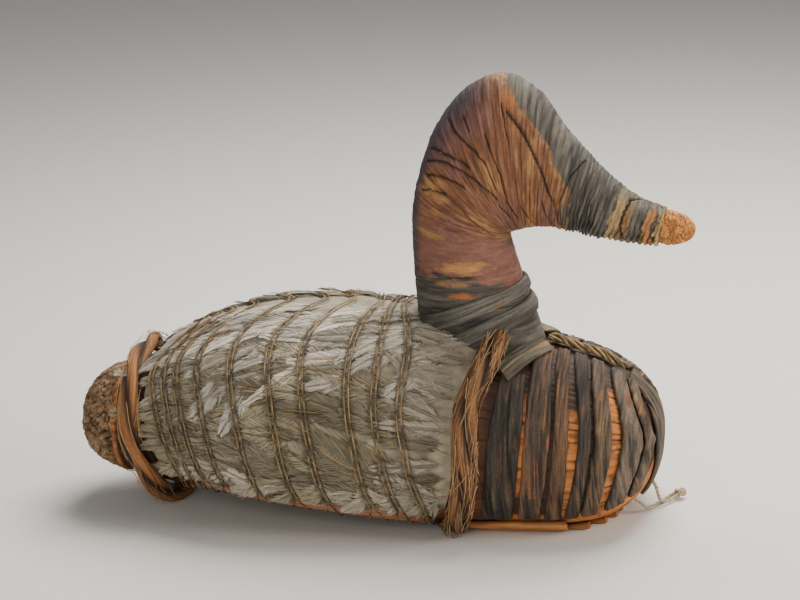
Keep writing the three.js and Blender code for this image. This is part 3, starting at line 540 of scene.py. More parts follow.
# Breast strips, from behind to the front: the edges along the body at the top, half way and at the foot, where the
# strip starts down the flank, and its colours.
STRIPS = (
    ((66, 78), (62, 77.4), (55.5, 71), 38, "#14110f", "#40382f", "#4d3a28", 0.12),
    ((79.5, 88), (79, 91.4), (73.5, 84), 8, "#1c1612", "#584638", "#6e4c30", 0.25),
    ((89.6, 96), (93, 100), (86.5, 94.8), 7, "#2c1f15", "#6e5138", "#2a221c", 0.15),
    ((98, 104.5), (104.8, 110.4), (96.3, 102.8), 7, "#15120f", "#453b31", "#54402e", 0.12),
    ((106, 112.5), (111.8, 120), (104.2, 111.8), 7, "#1f1913", "#6f5b44", "#54402e", 0.25),
    ((115.5, 122), (124.4, 133), (115, 124.5), 7, "#2a241e", "#6f6050", "#6b3c28", 0.14),
    ((123.4, 128.4), (134, 137.6), (126, 132), 8, "#261f18", "#6e5c46", "#86704a", 0.18),
)
STRIP_MIDDLE, STRIP_FOOT = 75, 129
# Where bare stems show between two strips: the strip behind, and from which angle down the flank to which.
BARE_GAPS = ((0, 55, 108), (2, 60, 130), (4, 33, 130))


def strip_edges(strip):
    """A strip's rear and front edge, as two curves for an angle down the flank."""
    top, middle, bottom, start = strip[:4]
    return [smooth([start, STRIP_MIDDLE, STRIP_FOOT], [top[k], middle[k], bottom[k]]) for k in (0, 1)]


# Reed body: rows close together over the tail's cut ends and the breast, far apart under the feathers.
TAIL_ROWS, MIDDLE_ROWS, BREAST_ROWS = 130, 40, 150
BODY_COLUMNS = 280
STEM_DEGREES = 4.5
tail_turn = np.linspace(0, np.pi / 2, TAIL_ROWS)[:-1]
body_rows = np.concatenate([
    TAIL_END + TAIL_ROUND * (1 - np.cos(tail_turn)),
    np.linspace(TAIL_END + TAIL_ROUND, 40, MIDDLE_ROWS),
    40 + (BREAST_END - 40) * np.sin(np.linspace(0, np.pi / 2, BREAST_ROWS + 1)[1:]),
])
body_rows[0], body_rows[-1] = TAIL_END, BREAST_END


def body_part():
    """The body's surface with its reeds: a row of rounded ridges along it, one for each stem, and over the tail the
    crumpled cut ends, as cells with sunk edges and wavy grooves. Each stem and cell has its own tone. The grooves
    between stems, the splits, the cork's grooves and cell edges, the slot for the tail rope, the stretch by the tail
    rope, and the body under the feather coat and under the breast strips are painted dark as painted shade."""
    x, degrees = np.meshgrid(body_rows, np.linspace(-180, 180, BODY_COLUMNS + 1), indexing="ij")
    bare = flank(x, degrees)
    around = int(360 / STEM_DEGREES)
    stem = (degrees + 180) / STEM_DEGREES + 0.35 * noise(x / 70, (degrees + 180) / 12, 21, 30)
    place = stem % 1
    number = np.floor(stem).astype(int) % around
    ridge = 0.9 * (1 - np.abs(2 * place - 1) ** 3)
    split = step(0.55, 0.75, noise(x / 5, number * 3.7, 22)) * 0.5
    stem_random = np.random.default_rng(23).random((around, 2))
    hue = stem_random[number]
    orange = mix(colour("#b8692c"), colour("#dd9440"), hue[..., 0])
    orange = mix(orange, colour("#a8765a"), step(0.75, 0.95, hue[..., 1]))
    orange = mix(orange, colour("#6a4a2c"), 0.5 + 0.7 * noise(x / 9, number * 5.1, 24))
    orange = mix(colour("#cc7832"), orange, 0.6)
    broken = noise(x / 2.2, (degrees + 180) / 3.2, 32, 112)
    orange = mix(orange, colour("#6b3c1a"), 0.7 * step(0.45, 0.7, broken))
    # Each stem's edges, where it meets the next in a groove, and its splits are painted dark brown as painted shade.
    stem_tone = mix(orange, colour("#2c1c10"), step(0.86, 0.99, np.abs(2 * place - 1)) * 0.85 + split)

    steps = np.linalg.norm(np.diff(bare[:, BODY_COLUMNS // 4], axis=0), axis=-1)
    reach = np.concatenate([[0], np.cumsum(steps)])[:, None]
    turned = np.radians(degrees)
    p, q = reach * np.sin(turned), reach * np.cos(turned)
    p, q = p + 1.6 * noise(p / 5, q / 5, 25), q + 1.6 * noise(p / 5 + 40, q / 5, 26)
    edge, own = cells(p / 6.5 + 30, q / 6.5 + 30, 27)
    groove = 1 - 1.5 * np.abs(layered(p / 3.6 + 50, q / 8 + 50, 28, 3, 256))
    crumple = 0.6 * own[..., 0] + 0.4 * step(0, 0.3, edge) - 1.7 * step(0.72, 1, groove) + 0.35 * noise(p, q, 29)
    cork = mix(colour("#583d24"), colour("#a08058"), 0.25 + 0.4 * own[..., 1] + 0.5 * noise(p / 1.6, q / 1.6, 30))
    # The wavy grooves and the sunk cell edges of the cut ends are painted near-black as painted shade.
    cork = mix(cork, colour("#1c1108"), step(0.76, 0.98, groove) + 0.35 * (1 - step(0.02, 0.12, edge)))
    cork = mix(cork, colour("#6f6048"), 0.45 * step(0.1, 0.8, noise(p / 8, q / 8, 31)))

    dome = 1 - step(-137, -133, x)
    slot = np.exp(-((x + 130.0) / 2.9) ** 2)
    height = ridge * (1 - dome) + (crumple - 1.6) * dome - 3.0 * slot
    height *= step(TAIL_END, TAIL_END + 0.3, x)
    tone = mix(stem_tone, cork, dome)
    # The slot for the tail rope is painted near-black as painted shade.
    tone = mix(tone, colour("#140c06"), 0.95 * step(0.1, 0.6, slot))
    # Painted shade: the body round and in front of the tail rope, under the rope and the feather ends, is painted dark
    # brown.
    tail_hollow_shade = step(-134, -131, x) * (1 - step(-106, -98, x))
    flap = np.exp(-((x + 113) / 3.5) ** 2 - ((degrees + 124) / 7) ** 2)
    tone = mix(tone, colour("#2c1a0d"), 0.85 * tail_hollow_shade)
    tone = mix(tone, colour("#6a3a1e"), 0.9 * step(0.2, 0.8, flap))
    down = np.abs(degrees)
    bare_stems = step(STRIP_FOOT - 3, STRIP_FOOT + 1, down)
    for behind, start, end in BARE_GAPS:
        rear, front = strip_edges(STRIPS[behind])[1](down), strip_edges(STRIPS[behind + 1])[0](down)
        between = step(rear - 1.4, rear - 0.4, x) * (1 - step(front + 0.4, front + 1.4, x))
        bare_stems = np.maximum(bare_stems, between * step(start - 9, start + 3, down) * (1 - step(end, end + 5, down)))
    # Painted shade: on the breast, the body under the strips is painted near-black, so the gaps between strips read as
    # shadow; only the bare stems keep their colour.
    tone = mix(tone, colour("#150e08"), 0.92 * (1 - bare_stems) * step(56, 62, x))
    # Painted shade: the body under the feather coat and the ropes is painted dark brown.
    shade_under_coat = step(-128, -120, x) * (1 - step(60, 64, x))
    tone = mix(tone, colour("#2e1f12"), 0.75 * shade_under_coat)
    points = bare + outward(flank, x, degrees) * (height - 0.9 * (1 - dome))[..., None]
    points[..., 2] = np.maximum(points[..., 2], 0.3)
    points[0], points[-1] = points[0].mean(0), points[-1].mean(0)
    grain = np.stack([x, degrees * 0.95], -1)
    return grid(points, tone, grain, wraps=(False, True), poles=True)


piece("body_reeds", body_part(), dry_tule, "tule_stems", "tule_body")


# Head and neck: where each wrap starts along it, closer together on the bill, and the paint's borders.
WRAP_EDGES = np.concatenate([
    [0, 0.05, 0.10, 0.15, 0.2, 0.26], np.linspace(0.29, 0.44, 8), np.linspace(0.47, 0.72, 17),
    np.linspace(0.737, 1.0, 24)])
NECK_ROWS, NECK_COLUMNS = 620, 150
crown_border = smooth([0, 18, 49, 60, 87, 110, 164, 180], [0.565, 0.574, 0.619, 0.69, 0.749, 0.752, 0.766, 0.766])
foot_border = smooth([0, 60, 85, 100, 115, 148, 168, 180], [0.17, 0.165, 0.16, 0.165, 0.15, 0.125, 0.105, 0.10])


def neck_wraps(along, degrees):
    """Which wrap lies at a place and how far across it, from edges that waver a little round the neck."""
    spot = along + 0.0035 * noise(along * 30, (degrees + 180) / 24, 41, 15)
    spot = spot + 0.0015 * noise(along * 90, (degrees + 180) / 9, 42, 40)
    number = np.clip(np.searchsorted(WRAP_EDGES, spot, side="right") - 1, 0, len(WRAP_EDGES) - 2)
    start, end = WRAP_EDGES[number], WRAP_EDGES[number + 1]
    return number, np.clip((spot - start) / (end - start), 0, 1), (spot - start), (end - spot)


# Cracks between wraps, as places along the neck and degrees round it, on the side of the head that shows best.
CRACKS = (
    ((0.491, -42.5), (0.496, -57.5)), ((0.460, -29), (0.471, -54.5), (0.495, -74.5), (0.511, -88.5), (0.516, -108.5)),
    ((0.527, -67), (0.535, -87), (0.543, -99), (0.541, -120)), ((0.567, -46.5), (0.573, -60.5), (0.579, -76)),
    ((0.406, -26.5), (0.428, -52.5), (0.466, -81)), ((0.386, -28.5), (0.436, -72), (0.478, -101.5), (0.509, -117)),
    ((0.371, -37), (0.422, -87)), ((0.341, -35), (0.372, -70.5)), ((0.366, -95.5), (0.353, -109.5), (0.309, -145.5)),
    ((0.501, -122), (0.539, -141.5), (0.541, -162)), ((0.539, -121.5), (0.577, -143.5)),
    ((0.601, -127.5), (0.658, -152.5)), ((0.685, -115.5), (0.735, -158)), ((0.723, -106), (0.756, -144)),
    ((0.782, -26.5), (0.754, -73), (0.744, -101.5), (0.766, -164)), ((0.833, -82), (0.843, -131.5)),
    ((0.131, -148), (0.092, -73)),
)
DEEP_CRACKS = (
    ((0.579, -53), (0.621, -66.5), (0.644, -75.5), (0.680, -88), (0.717, -107)),
    ((0.934, -5), (0.915, -29), (0.910, -65.5), (0.911, -97.5), (0.923, -139.5)),
)
NECK_MM, DEGREE_MM = 300, 0.38


def off_lines(along, degrees, lines):
    """How many mm a place of the neck lies from the nearest of some lines, each a row of (along, degrees)."""
    u, v = along * NECK_MM, degrees * DEGREE_MM
    nearest = np.full(np.shape(along), 99.0)
    for line in lines:
        line = np.array(line) * (NECK_MM, DEGREE_MM)
        for start, end in zip(line[:-1], line[1:]):
            ahead = end - start
            part = np.clip(((u - start[0]) * ahead[0] + (v - start[1]) * ahead[1]) / (ahead @ ahead), 0, 1)
            nearest = np.minimum(nearest, np.hypot(u - start[0] - part * ahead[0], v - start[1] - part * ahead[1]))
    return nearest


def head_part():
    """The wrapped head: each wrap rises from one edge to the next and drops there, with a crack along the drop whose
    depth varies. Colours follow the paint: brown and mauve head, mauve neck, grey-black crown and foot. The nape, the
    cracks and the low end of each wrap are painted darker as painted shade."""
    rows, columns = np.linspace(0, NECK_END, NECK_ROWS), np.linspace(-180, 180, NECK_COLUMNS + 1)
    along, degrees = np.meshgrid(rows, columns, indexing="ij")
    bare = neck(along, degrees)
    number, part, past, left = neck_wraps(along, degrees)
    pace = np.linalg.norm(np.gradient(bare, axis=0), axis=-1) / np.gradient(along, axis=0)
    past_mm, left_mm = past * pace, left * pace
    wrap_random = np.random.default_rng(43).random((len(WRAP_EDGES), 4))
    own = wrap_random[number]
    bill = step(0.72, 0.78, along)
    neck_part = 1 - step(0.25, 0.31, along)
    fade = 0.55 + 0.45 * noise(number * 7.3, (degrees + 180) / 30, 44, 12)
    under_bill = bill * step(95, 130, np.abs(degrees))
    shown = 0.22 + 0.25 * bill + 0.9 * under_bill
    depth = (0.35 + 0.9 * own[..., 0]) * np.clip(fade, 0, 1) * (1 - 0.85 * neck_part) * shown
    crack = np.exp(-(np.minimum(past_mm, left_mm) / 0.38) ** 2) * depth
    spot = along + 0.013 * (degrees > 0) + 0.002 * noise(along * 90, (degrees + 180) / 5, 49, 72)
    wide = 0.42 + 0.2 * noise(along * 60, (degrees + 180) / 8, 50, 45)
    crack = np.maximum(crack, 0.95 * np.exp(-(off_lines(spot, -np.abs(degrees), CRACKS) / wide) ** 2))
    crack = np.maximum(crack, np.exp(-(off_lines(spot, -np.abs(degrees), DEEP_CRACKS) / (wide + 0.4)) ** 2))
    rise = (0.2 + 0.2 * bill + 0.5 * under_bill) * (1 - 0.7 * neck_part)
    folds = 0.35 * layered(along * 130, (degrees + 180) / 45, 45, 3, 8) * (1 - 0.5 * neck_part)
    height = rise * (1 - part) * (0.5 + own[..., 1]) + folds - 1.3 * crack
    height += 0.12 * noise(along * 420, (degrees + 180) / 12, 46, 30)
    throat = step(120, 160, np.abs(degrees)) * bill
    height += 0.25 * throat * (part < 0.5)

    streak = layered(along * 210, (degrees + 180) / 30, 47, 4, 12)
    cloud = layered(along * 14, (degrees + 180) / 45, 48, 3, 8)
    mottle = layered(along * 110, (degrees + 180) / 8, 53, 3, 45)
    brown = mix(colour("#4f3020"), colour("#966440"), 0.5 + 0.6 * streak + 0.3 * (own[..., 2] - 0.5) + 0.25 * mottle)
    brown = mix(brown, colour("#a27a4a"), 0.8 * step(0.25, 0.7, cloud + 0.35 * streak + 0.3 * mottle))
    mauve = mix(colour("#573731"), colour("#8a6055"), 0.5 + 0.6 * streak + 0.25 * mottle)
    tone = mix(brown, mauve, step(-0.1, 0.4, -cloud + 0.2 * streak + 0.3 * mottle) * 0.85)
    tone = mix(tone, mix(colour("#60403a"), colour("#8a5c4e"), 0.5 + 0.5 * streak), 0.85 * neck_part)
    # The nape, below the middle of the head, is painted near-black as painted shade.
    nape = 1 - step(20, 52, np.abs(degrees) + 10 * cloud)
    tone = mix(tone, mix(colour("#231d20"), colour("#463c42"), 0.5 + 0.6 * streak), nape * (1 - step(0.5, 0.58, along)))
    grey = mix(colour("#262320"), colour("#676157"), 0.45 + 0.8 * streak + 0.3 * (own[..., 3] - 0.5))
    ragged = 0.02 * cloud + 0.026 * streak + 0.022 * mottle
    over_border = along - crown_border(np.abs(degrees)) + ragged
    tone = mix(tone, colour("#a8804a"), 0.55 * np.exp(-((over_border + 0.004) / 0.009) ** 2))
    tone = mix(tone, grey, step(-0.004, 0.016, over_border))
    tone = mix(tone, grey * 0.85, 1 - step(-0.008, 0.008, along - foot_border(np.abs(degrees)) + ragged))
    for low, high, code in ((0.886, 0.905, "#a98d5c"), (0.908, 0.926, "#8f6b40"), (0.962, 0.976, "#b8763a"),
                            (0.984, 1.0, "#b79a5e")):
        strayed = along + ragged / 3
        band = step(low - 0.003, low + 0.003, strayed) * (1 - step(high - 0.003, high + 0.003, strayed))
        tone = mix(tone, colour(code), 0.8 * band * (1 - 0.8 * (1 - step(20, 60, np.abs(degrees)))))
    for centre, turn, wide, tall, code in (
            (0.586, -41, 11, 0.014, "#a55c26"), (0.186, -95, 30, 0.014, "#c08a4c"), (0.152, -83, 20, 0.008, "#a07a48"),
            (0.126, -92, 16, 0.007, "#b8682c"), (0.26, -62, 22, 0.01, "#a27a3e")):
        spot = ((along - centre) / tall) ** 2 + ((degrees - turn) / wide) ** 2 + 1.3 * streak + 1.2 * mottle
        tone = mix(tone, colour(code), 0.75 * (1 - step(0.1, 1.3, spot)))
    # The cracks are painted near-black as painted shade.
    tone = mix(tone, colour("#120c08"), np.clip(1.1 * crack, 0, 0.94))
    # The mottle varies the tone, and the low end of each wrap, under the edge of the next, is painted a tenth darker as
    # painted shade.
    tone = tone * (1 + 0.2 * mottle - 0.1 * (part > 0.8))[..., None]

    height *= step(0, 0.004, along)
    points = bare + outward(neck, along, degrees) * (height + 0.2)[..., None]
    ends = [np.broadcast_to(points[i].mean(0), points[i].shape)[None] for i in (0, -1)]
    points = np.concatenate([ends[0], points, ends[1]])
    tone = np.concatenate([tone[:1], tone, tone[-1:]])
    grain = np.stack([degrees * 0.4, along * 300], -1)
    grain = np.concatenate([grain[:1], grain, grain[-1:]])
    return grid(points, tone, grain, wraps=(False, True), poles=True)


piece("wrapped_head", head_part(), painted_tule, "painted_wrap", "head_and_neck")


def bill_tip_part():
    """The bare stems past the last wrap: rings that shrink to the tip as (1 - part^2.4)^0.5, roughened by cells, with
    some sunk cell edges painted dark as painted shade.
    """
    part, degrees = np.meshgrid(np.linspace(0, 1, 70), np.linspace(0, 360, 97), indexing="ij")
    ends = neck(NECK_END, np.array([0, 180]))
    centre, up = ends.mean(0), (ends[0] - ends[1]) / 2
    axis = np.array([up[2], 0, -up[0]]) / np.linalg.norm(up) + np.array([0, 0, TIP_RISE])
    size = 0.88 * (1 - np.minimum(part, 0.995) ** 2.4) ** 0.5 + 0.03
    turn = np.radians(degrees)
    edge, own = cells(part * 8 + 10, degrees / 30, 51)
    rough = layered(part * 6, degrees / 30, 52, 3, 12)
    size = size * (1 + 0.06 * rough - 0.07 * (1 - step(0, 0.2, edge)) + 0.05 * own[..., 0])
    size[0], size[-1] = 0, 0
    points = centre + axis * (GAP - 0.5 + (TIP_LENGTH + 0.5) * part)[..., None]
    points = points + up * (np.cos(turn) * size)[..., None]
    points[..., 1] += np.sin(turn) * size * np.linalg.norm(up)
    tone = mix(colour("#86491c"), colour("#c98c48"), 0.5 + 0.6 * rough + 0.3 * (own[..., 1] - 0.5))
    # Some sunk cell edges are painted dark brown as painted shade.
    tone = mix(tone, colour("#3a2210"), 0.9 * (1 - step(0.02, 0.16, edge)) * (own[..., 0] > 0.35))
    return grid(points, tone, np.stack([part * 16, degrees * 0.14], -1), wraps=(False, True), poles=True)


piece("bill_tip_stems", bill_tip_part(), tule_pith, "bare_tule", "bill_tip")

# Wraps round the foot of the neck, higher in front than behind, and the lowest pair over the breast strips.
NECK_BANDS = (0.094, 0.05)
BAND_SLANT = 0.034
BAND_HALF = 0.0125
BAND_THICK = 1.4
WRAP_RIDGE = 0.7


def streaked(run, across, seed, dark, light, other=None, share=0.0):
    """Colours of a flat tule strip: streaks along it between dark and light, with some of a third colour."""
    fine = layered(run / 14, across / 0.9, seed, 3, 256)
    broad = noise(run / 30, across / 2.6, seed + 9)
    tone = mix(colour(dark), colour(light), 0.45 + 0.85 * fine + 0.3 * broad)
    if other:
        tone = mix(tone, colour(other), step(1 - 2 * share, 1.25 - 2 * share, broad + 0.5 * fine))
    return tone


def neck_band_part(mean, seed):
    """A wrap round the neck's foot: its middle lies at mean - slant * cos(turn), and its back is ribbed."""
    degrees, across = np.meshgrid(np.linspace(-180, 180, 200), np.linspace(-1, 1, 22), indexing="ij")
    turned = np.radians(degrees)
    wide = BAND_HALF * (1.25 + 0.12 * noise(0, (degrees + 180) / 24, seed, 15))
    along = mean - BAND_SLANT * np.cos(turned) + across * wide
    low = WRAP_RIDGE + GAP
    high = low + BAND_THICK * (0.45 + 0.55 * (1 - np.abs(across) ** 3))
    high = high + 0.25 * noise(across * 9, (degrees + 180) / 30, seed, 12)
    top = raised(neck, along, degrees, high)
    foot = raised(neck, along[:, ::-7], degrees[:, ::-7], np.full(along[:, ::-7].shape, low - 0.6))
    ring = np.concatenate([top, foot, top[:, :1]], 1)
    tone = streaked(degrees * 0.4 + 80, across * 4, seed, "#35322e", "#6b675e", "#86633f", 0.16)
    # The lower side takes half the upper side's colours: painted shade underneath.
    tone = np.concatenate([tone, tone[:, ::-7] * 0.5, tone[:, :1]], 1)
    grain = np.stack([degrees * 0.4, across * 5], -1)
    grain = np.concatenate([grain, grain[:, ::-7], grain[:, :1]], 1)
    return grid(ring, tone, grain, wraps=(True, True))


for i, mean in enumerate(NECK_BANDS):
    piece(f"neck_wrap_{i + 1}", neck_band_part(mean, 60 + i * 20), worn_paint, "painted_wrap", f"neck_band_{i + 1}")

STRIP_THICK = 1.3


def low_band_part(hand, seed):
    """The lowest wrap on one side, from the throat down to the girdle rope, over the tops of the strips."""
    part, across = np.meshgrid(np.linspace(0, 1, 60), np.linspace(-1, 1, 22), indexing="ij")
    x = 84 - 18 * part + across * 3.6
    degrees = hand * (9 + 32 * part + across * 4.2)
    low = REST + STRIP_THICK + GAP * 2
    high = low + BAND_THICK * (0.4 + 0.6 * (1 - np.abs(across) ** 3)) + 0.3 * noise(part * 4, across * 8, seed)
    tone = streaked(part * 30, across * 5, seed, "#3a342a", "#77705a", "#8a6a3c", 0.2)
    return strap(flank, x, degrees, low, high, tone, np.stack([part * 34, across * 5], -1))


def strip_part(strip, hand, seed):
    """A flat strip down one flank. Both edges run through their three places and are a little ragged, and its back is
    ribbed along the fibres and has a few long splits. The splits and the strip's edges are painted dark as painted
    shade."""
    start, dark, light, other, share = strip[3:]
    edges = strip_edges(strip)
    degrees, across = np.meshgrid(np.linspace(start, STRIP_FOOT, 170), np.linspace(0, 1, 26), indexing="ij")
    ragged = [0.35 * layered(degrees / 9, 0, seed + 3 + k, 3) for k in (0, 1)]
    first, second = edges[0](degrees) + ragged[0], edges[1](degrees) + ragged[1]
    x = first + (second - first) * across
    wide = second - first
    run = degrees * 0.9
    ribs = layered(run / 22 + 7, x / 1.1, seed, 3, 256)
    split = step(0.45, 0.7, noise(run / 26, x / 2.1, seed + 5))
    split = split * step(0.55, 0.9, noise(run / 60, x / 0.9, seed + 6) + 0.5)
    rim = np.minimum(across, 1 - across) * wide
    high = REST + STRIP_THICK * step(-0.4, 0.9, rim) + 0.42 * ribs - 0.8 * split
    tone = streaked(run, x, seed, dark, light, other, share)
    tone = mix(tone, colour("#a5602c"), 0.55 * step(0.5, 0.8, noise(run / 12, x / 0.8, seed + 7)) * share * 3)
    # The splits and the strip's edges are painted near-black as painted shade.
    tone = mix(tone, colour("#15100b"), 0.85 * split + 0.55 * (1 - step(0.0, 0.6, rim)))
    tone = mix(tone, colour("#7d6a4e"), 0.4 * step(0.5, 1, noise(run / 20, x / 1.7, seed + 8)))
    grain = np.stack([run, x], -1)
    return strap(flank, x, hand * degrees, 0.35, high, tone, grain, under=5)


for hand, side in ((-1, "right"), (1, "left")):
    for i, strip in enumerate(STRIPS):
        piece(f"strip_{side}_{i + 1}", strip_part(strip, hand, 100 + 20 * i + hand), worn_paint, "painted_strips",
              f"breast_strip_{side}_{i + 1}")
    piece(f"neck_wrap_low_{side}", low_band_part(hand, 90 + hand), worn_paint, "painted_wrap", f"neck_band_low_{side}")

BREAST_CENTRE = np.array([80, 0, 45])
front_half = smooth([-27, 0, 22], [11, 13.5, 9])


def breast(round_, up):
    """The breast's surface seen from its centre at an angle round and an angle up, found by halving the ray."""
    a, e = np.radians(round_), np.radians(up)
    ray = np.stack([np.cos(a) * np.cos(e), np.sin(a) * np.cos(e), np.sin(e)], -1)
    near, far = np.zeros(np.shape(round_)), np.full(np.shape(round_), 120.0)
    for _ in range(34):
        middle = (near + far) / 2
        x, y, z = np.moveaxis(BREAST_CENTRE + ray * middle[..., None], -1, 0)
        reach = half_width(x) * openness(np.minimum(x, BREAST_END))
        across = np.clip(np.abs(y) / np.maximum(reach, 1e-6), 0, 1)
        rise = (1 - across ** UPPER_SQUARENESS) ** (1 / UPPER_SQUARENESS)
        fall = (1 - across ** lower_squareness(x)) ** (1 / lower_squareness(x))
        shut = openness(np.minimum(x, BREAST_END))
        top = widest_at(x) + (back_height(x) - widest_at(x)) * shut * rise
        foot = eased_to_sole(x, widest_at(x) + (belly_height(x) - widest_at(x)) * shut * fall)
        inside = (x < BREAST_END) & (np.abs(y) < reach) & (z < top) & (z > foot)
        near, far = np.where(inside, middle, near), np.where(inside, far, middle)
    return BREAST_CENTRE + ray * near[..., None]


def front_strip_part(seed):
    """The broad strip down the front of the breast, ribbed along its fibres."""
    up, across = np.meshgrid(np.linspace(30, -33, 150), np.linspace(-1, 1, 60), indexing="ij")
    half = front_half(up) + 0.4 * noise(up / 5, np.sign(across) * 5, seed)
    round_ = across * half
    surface = breast(round_, up)
    away = surface - BREAST_CENTRE
    away /= np.linalg.norm(away, axis=-1, keepdims=True)
    y = surface[..., 1]
    ribs = layered(up / 16 + 7, y / 1.2, seed, 3, 256)
    split = step(0.4, 0.6, noise(up / 24, y / 2.4, seed + 5)) * step(0.5, 0.8, noise(up / 50, y, seed + 6) + 0.5)
    rim = 1 - np.abs(across)
    high = REST + (STRIP_THICK * step(-0.02, 0.1, rim)) + 0.45 * ribs - 0.8 * split
    top = surface + away * high[..., None]
    foot = (surface - away * 0.3)[:, ::-5]
    ring = np.concatenate([top, foot, top[:, :1]], 1)
    tone = streaked(up, y, seed, "#211b16", "#6a5a46", "#7a5030", 0.22)
    # The splits are painted near-black, and the lower side takes half the upper side's colours: painted shade.
    tone = mix(tone, colour("#15100b"), 0.85 * split)
    tone = np.concatenate([tone, tone[:, ::-5] * 0.5, tone[:, :1]], 1)
    grain = np.stack([up, y], -1)
    grain = np.concatenate([grain, grain[:, ::-5], grain[:, :1]], 1)
    ends = [np.broadcast_to(ring[i].mean(0), ring[i].shape)[None] for i in (0, -1)]
    ring = np.concatenate([ends[0], ring, ends[1]])
    tone = np.concatenate([tone[:1], tone, tone[-1:]])
    grain = np.concatenate([grain[:1], grain, grain[-1:]])
    return grid(ring, tone, grain, wraps=(False, True), poles=True)


piece("strip_front", front_strip_part(260), worn_paint, "painted_strips", "breast_strip_front")


# Sole: flat bare stems under the breast that turn up with it in front.
SOLE_STEMS, SOLE_WIDE, SOLE_PITCH, SOLE_THICK = 9, 8.4, 9.1, 3
SOLE_FROM, SOLE_TO, SOLE_SHORTER = 48.5, 119, 1.4
for i in range(SOLE_STEMS):
    place = i - (SOLE_STEMS - 1) / 2
    ends = (SOLE_FROM, SOLE_TO - SOLE_SHORTER * place ** 2)
    x, across = np.meshgrid(np.linspace(*ends, 150), np.linspace(-0.5, 0.5, 18), indexing="ij")
    y = place * SOLE_PITCH + across * SOLE_WIDE * (1 + 0.03 * noise(x / 6, 0, 300 + i))
    rounded = 0.5 * (2 * np.abs(across)) ** 4
    high = REST + SOLE_THICK - rounded + 0.2 * layered(x / 20, across * 8, 310 + i, 3, 256)
    tone = streaked(x, across * 9, 320 + i, "#a5622f", "#dc9a52", "#7a4a26", 0.14)
    # The stem's rounded edges are painted darker as painted shade between the stems.
    tone = mix(tone, colour("#5a3a1c"), 0.5 * step(0.4, 0.5, np.abs(across)))
    piece(f"sole_reed_{i + 1}", strap(underside, x, y, REST, high, tone, np.stack([x, across * 9], -1), floor=0.0),
          dry_tule, "sole_stems", f"sole_stem_{i + 1}")


# Twisted ropes: radius, the place along the body from the back (0) to the belly (180), and the pitch of the twist.
GIRDLE_RADIUS, TAIL_ROPE_RADIUS = 5.4, 5.2
girdle_at = smooth([0, 40, 65, 100, 150, 180], [63, 58, 51.5, 50, 38.5, 35])
girdle_flat = smooth([0, 110, 150, 180], [0.92, 0.92, 0.46, 0.46])
tail_rope_at = smooth([0, 40, 80, 120, 180], [-121, -123, -123, -117, -109])
tail_rope_flat = smooth([0, 180], [0.95, 0.95])
ROPE_PITCH, ROPE_REST = 34, 1.05


def rope_parts(at, radius, flat_at, seed, dark, light, rough, steps=620, sides=72):
    """A two-ply rope round the body. Its middle rests over the body, both plies wind round it half a turn apart, and
    each ply is ribbed by strands that cross it at a slant. The grooves between strands and the inner side of each ply,
    where the plies meet, are painted dark as painted shade."""
    turn = np.linspace(-180, 180, 2001)
    line = flank(at(np.abs(turn)), turn)
    run = np.concatenate([[0], np.cumsum(np.linalg.norm(np.diff(line, axis=0), axis=1))])
    degrees = np.interp(np.linspace(0, run[-1], steps + 1), run, turn)
    length = np.linspace(0, run[-1], steps + 1)
    turns = round(run[-1] / ROPE_PITCH) / 2
    x, flat = at(np.abs(degrees)), flat_at(np.abs(degrees))
    out = outward(flank, x, degrees)
    centre = raised(flank, x, degrees, radius * flat + ROPE_REST)
    ahead = np.roll(centre[:-1], -1, 0) - np.roll(centre[:-1], 1, 0)
    ahead = np.concatenate([ahead, ahead[:1]])
    ahead /= np.linalg.norm(ahead, axis=1, keepdims=True)
    side = np.cross(ahead, out)
    side /= np.linalg.norm(side, axis=1, keepdims=True)
    away = np.cross(side, ahead)
    wide, tall = radius / np.sqrt(flat), radius * flat
    parts = []
    for ply in (0, 1):
        twist = length / run[-1] * turns * 2 * np.pi + ply * np.pi
        heart = centre + side * (np.cos(twist) * wide * 0.47)[:, None] + away * (np.sin(twist) * tall * 0.47)[:, None]
        own, around = np.meshgrid(length, np.linspace(0, 2 * np.pi, sides + 1), indexing="ij")
        lay = around / (2 * np.pi) * 16 + own / 9 * np.sign(ROPE_PITCH)
        strands = noise(own / 45, lay * 2, seed + ply, 32) * 0.5 + noise(own / 30, lay * 5, seed + 2 + ply, 80) * 0.5
        lump = 1 + 0.07 * noise(own / 11, 0, seed + 6 + ply) + rough * strands
        points = (heart[:, None] + side[:, None] * (np.cos(around) * wide[:, None] * 0.55 * lump)[..., None]
                  + away[:, None] * (np.sin(around) * tall[:, None] * 0.55 * lump)[..., None])
        points[..., 2] = np.maximum(points[..., 2], 0.02)
        broad = noise(own / 15, around * 2, seed + 8)
        tone = mix(colour(dark), colour(light), 0.5 + 0.75 * strands + 0.3 * broad)
        off_heart = np.linalg.norm(points - centre[:, None], axis=-1) / radius
        # The grooves between strands and the inner side of each ply are painted near-black as painted shade.
        tone = mix(tone, colour("#1c1008"), 0.7 * step(0.3, 0.7, -strands) + 0.85 * (1 - step(0.45, 0.95, off_heart)))
        points[-1], tone[-1] = points[0], tone[0]
        parts.append(grid(points, tone, np.stack([own, lay * 2.0], -1), wraps=(True, True)))
    return parts, centre, side, away


girdle_parts, girdle_line, girdle_side, girdle_away = rope_parts(
    girdle_at, GIRDLE_RADIUS, girdle_flat, 400, "#4a2c17", "#9c6c40", 0.06)


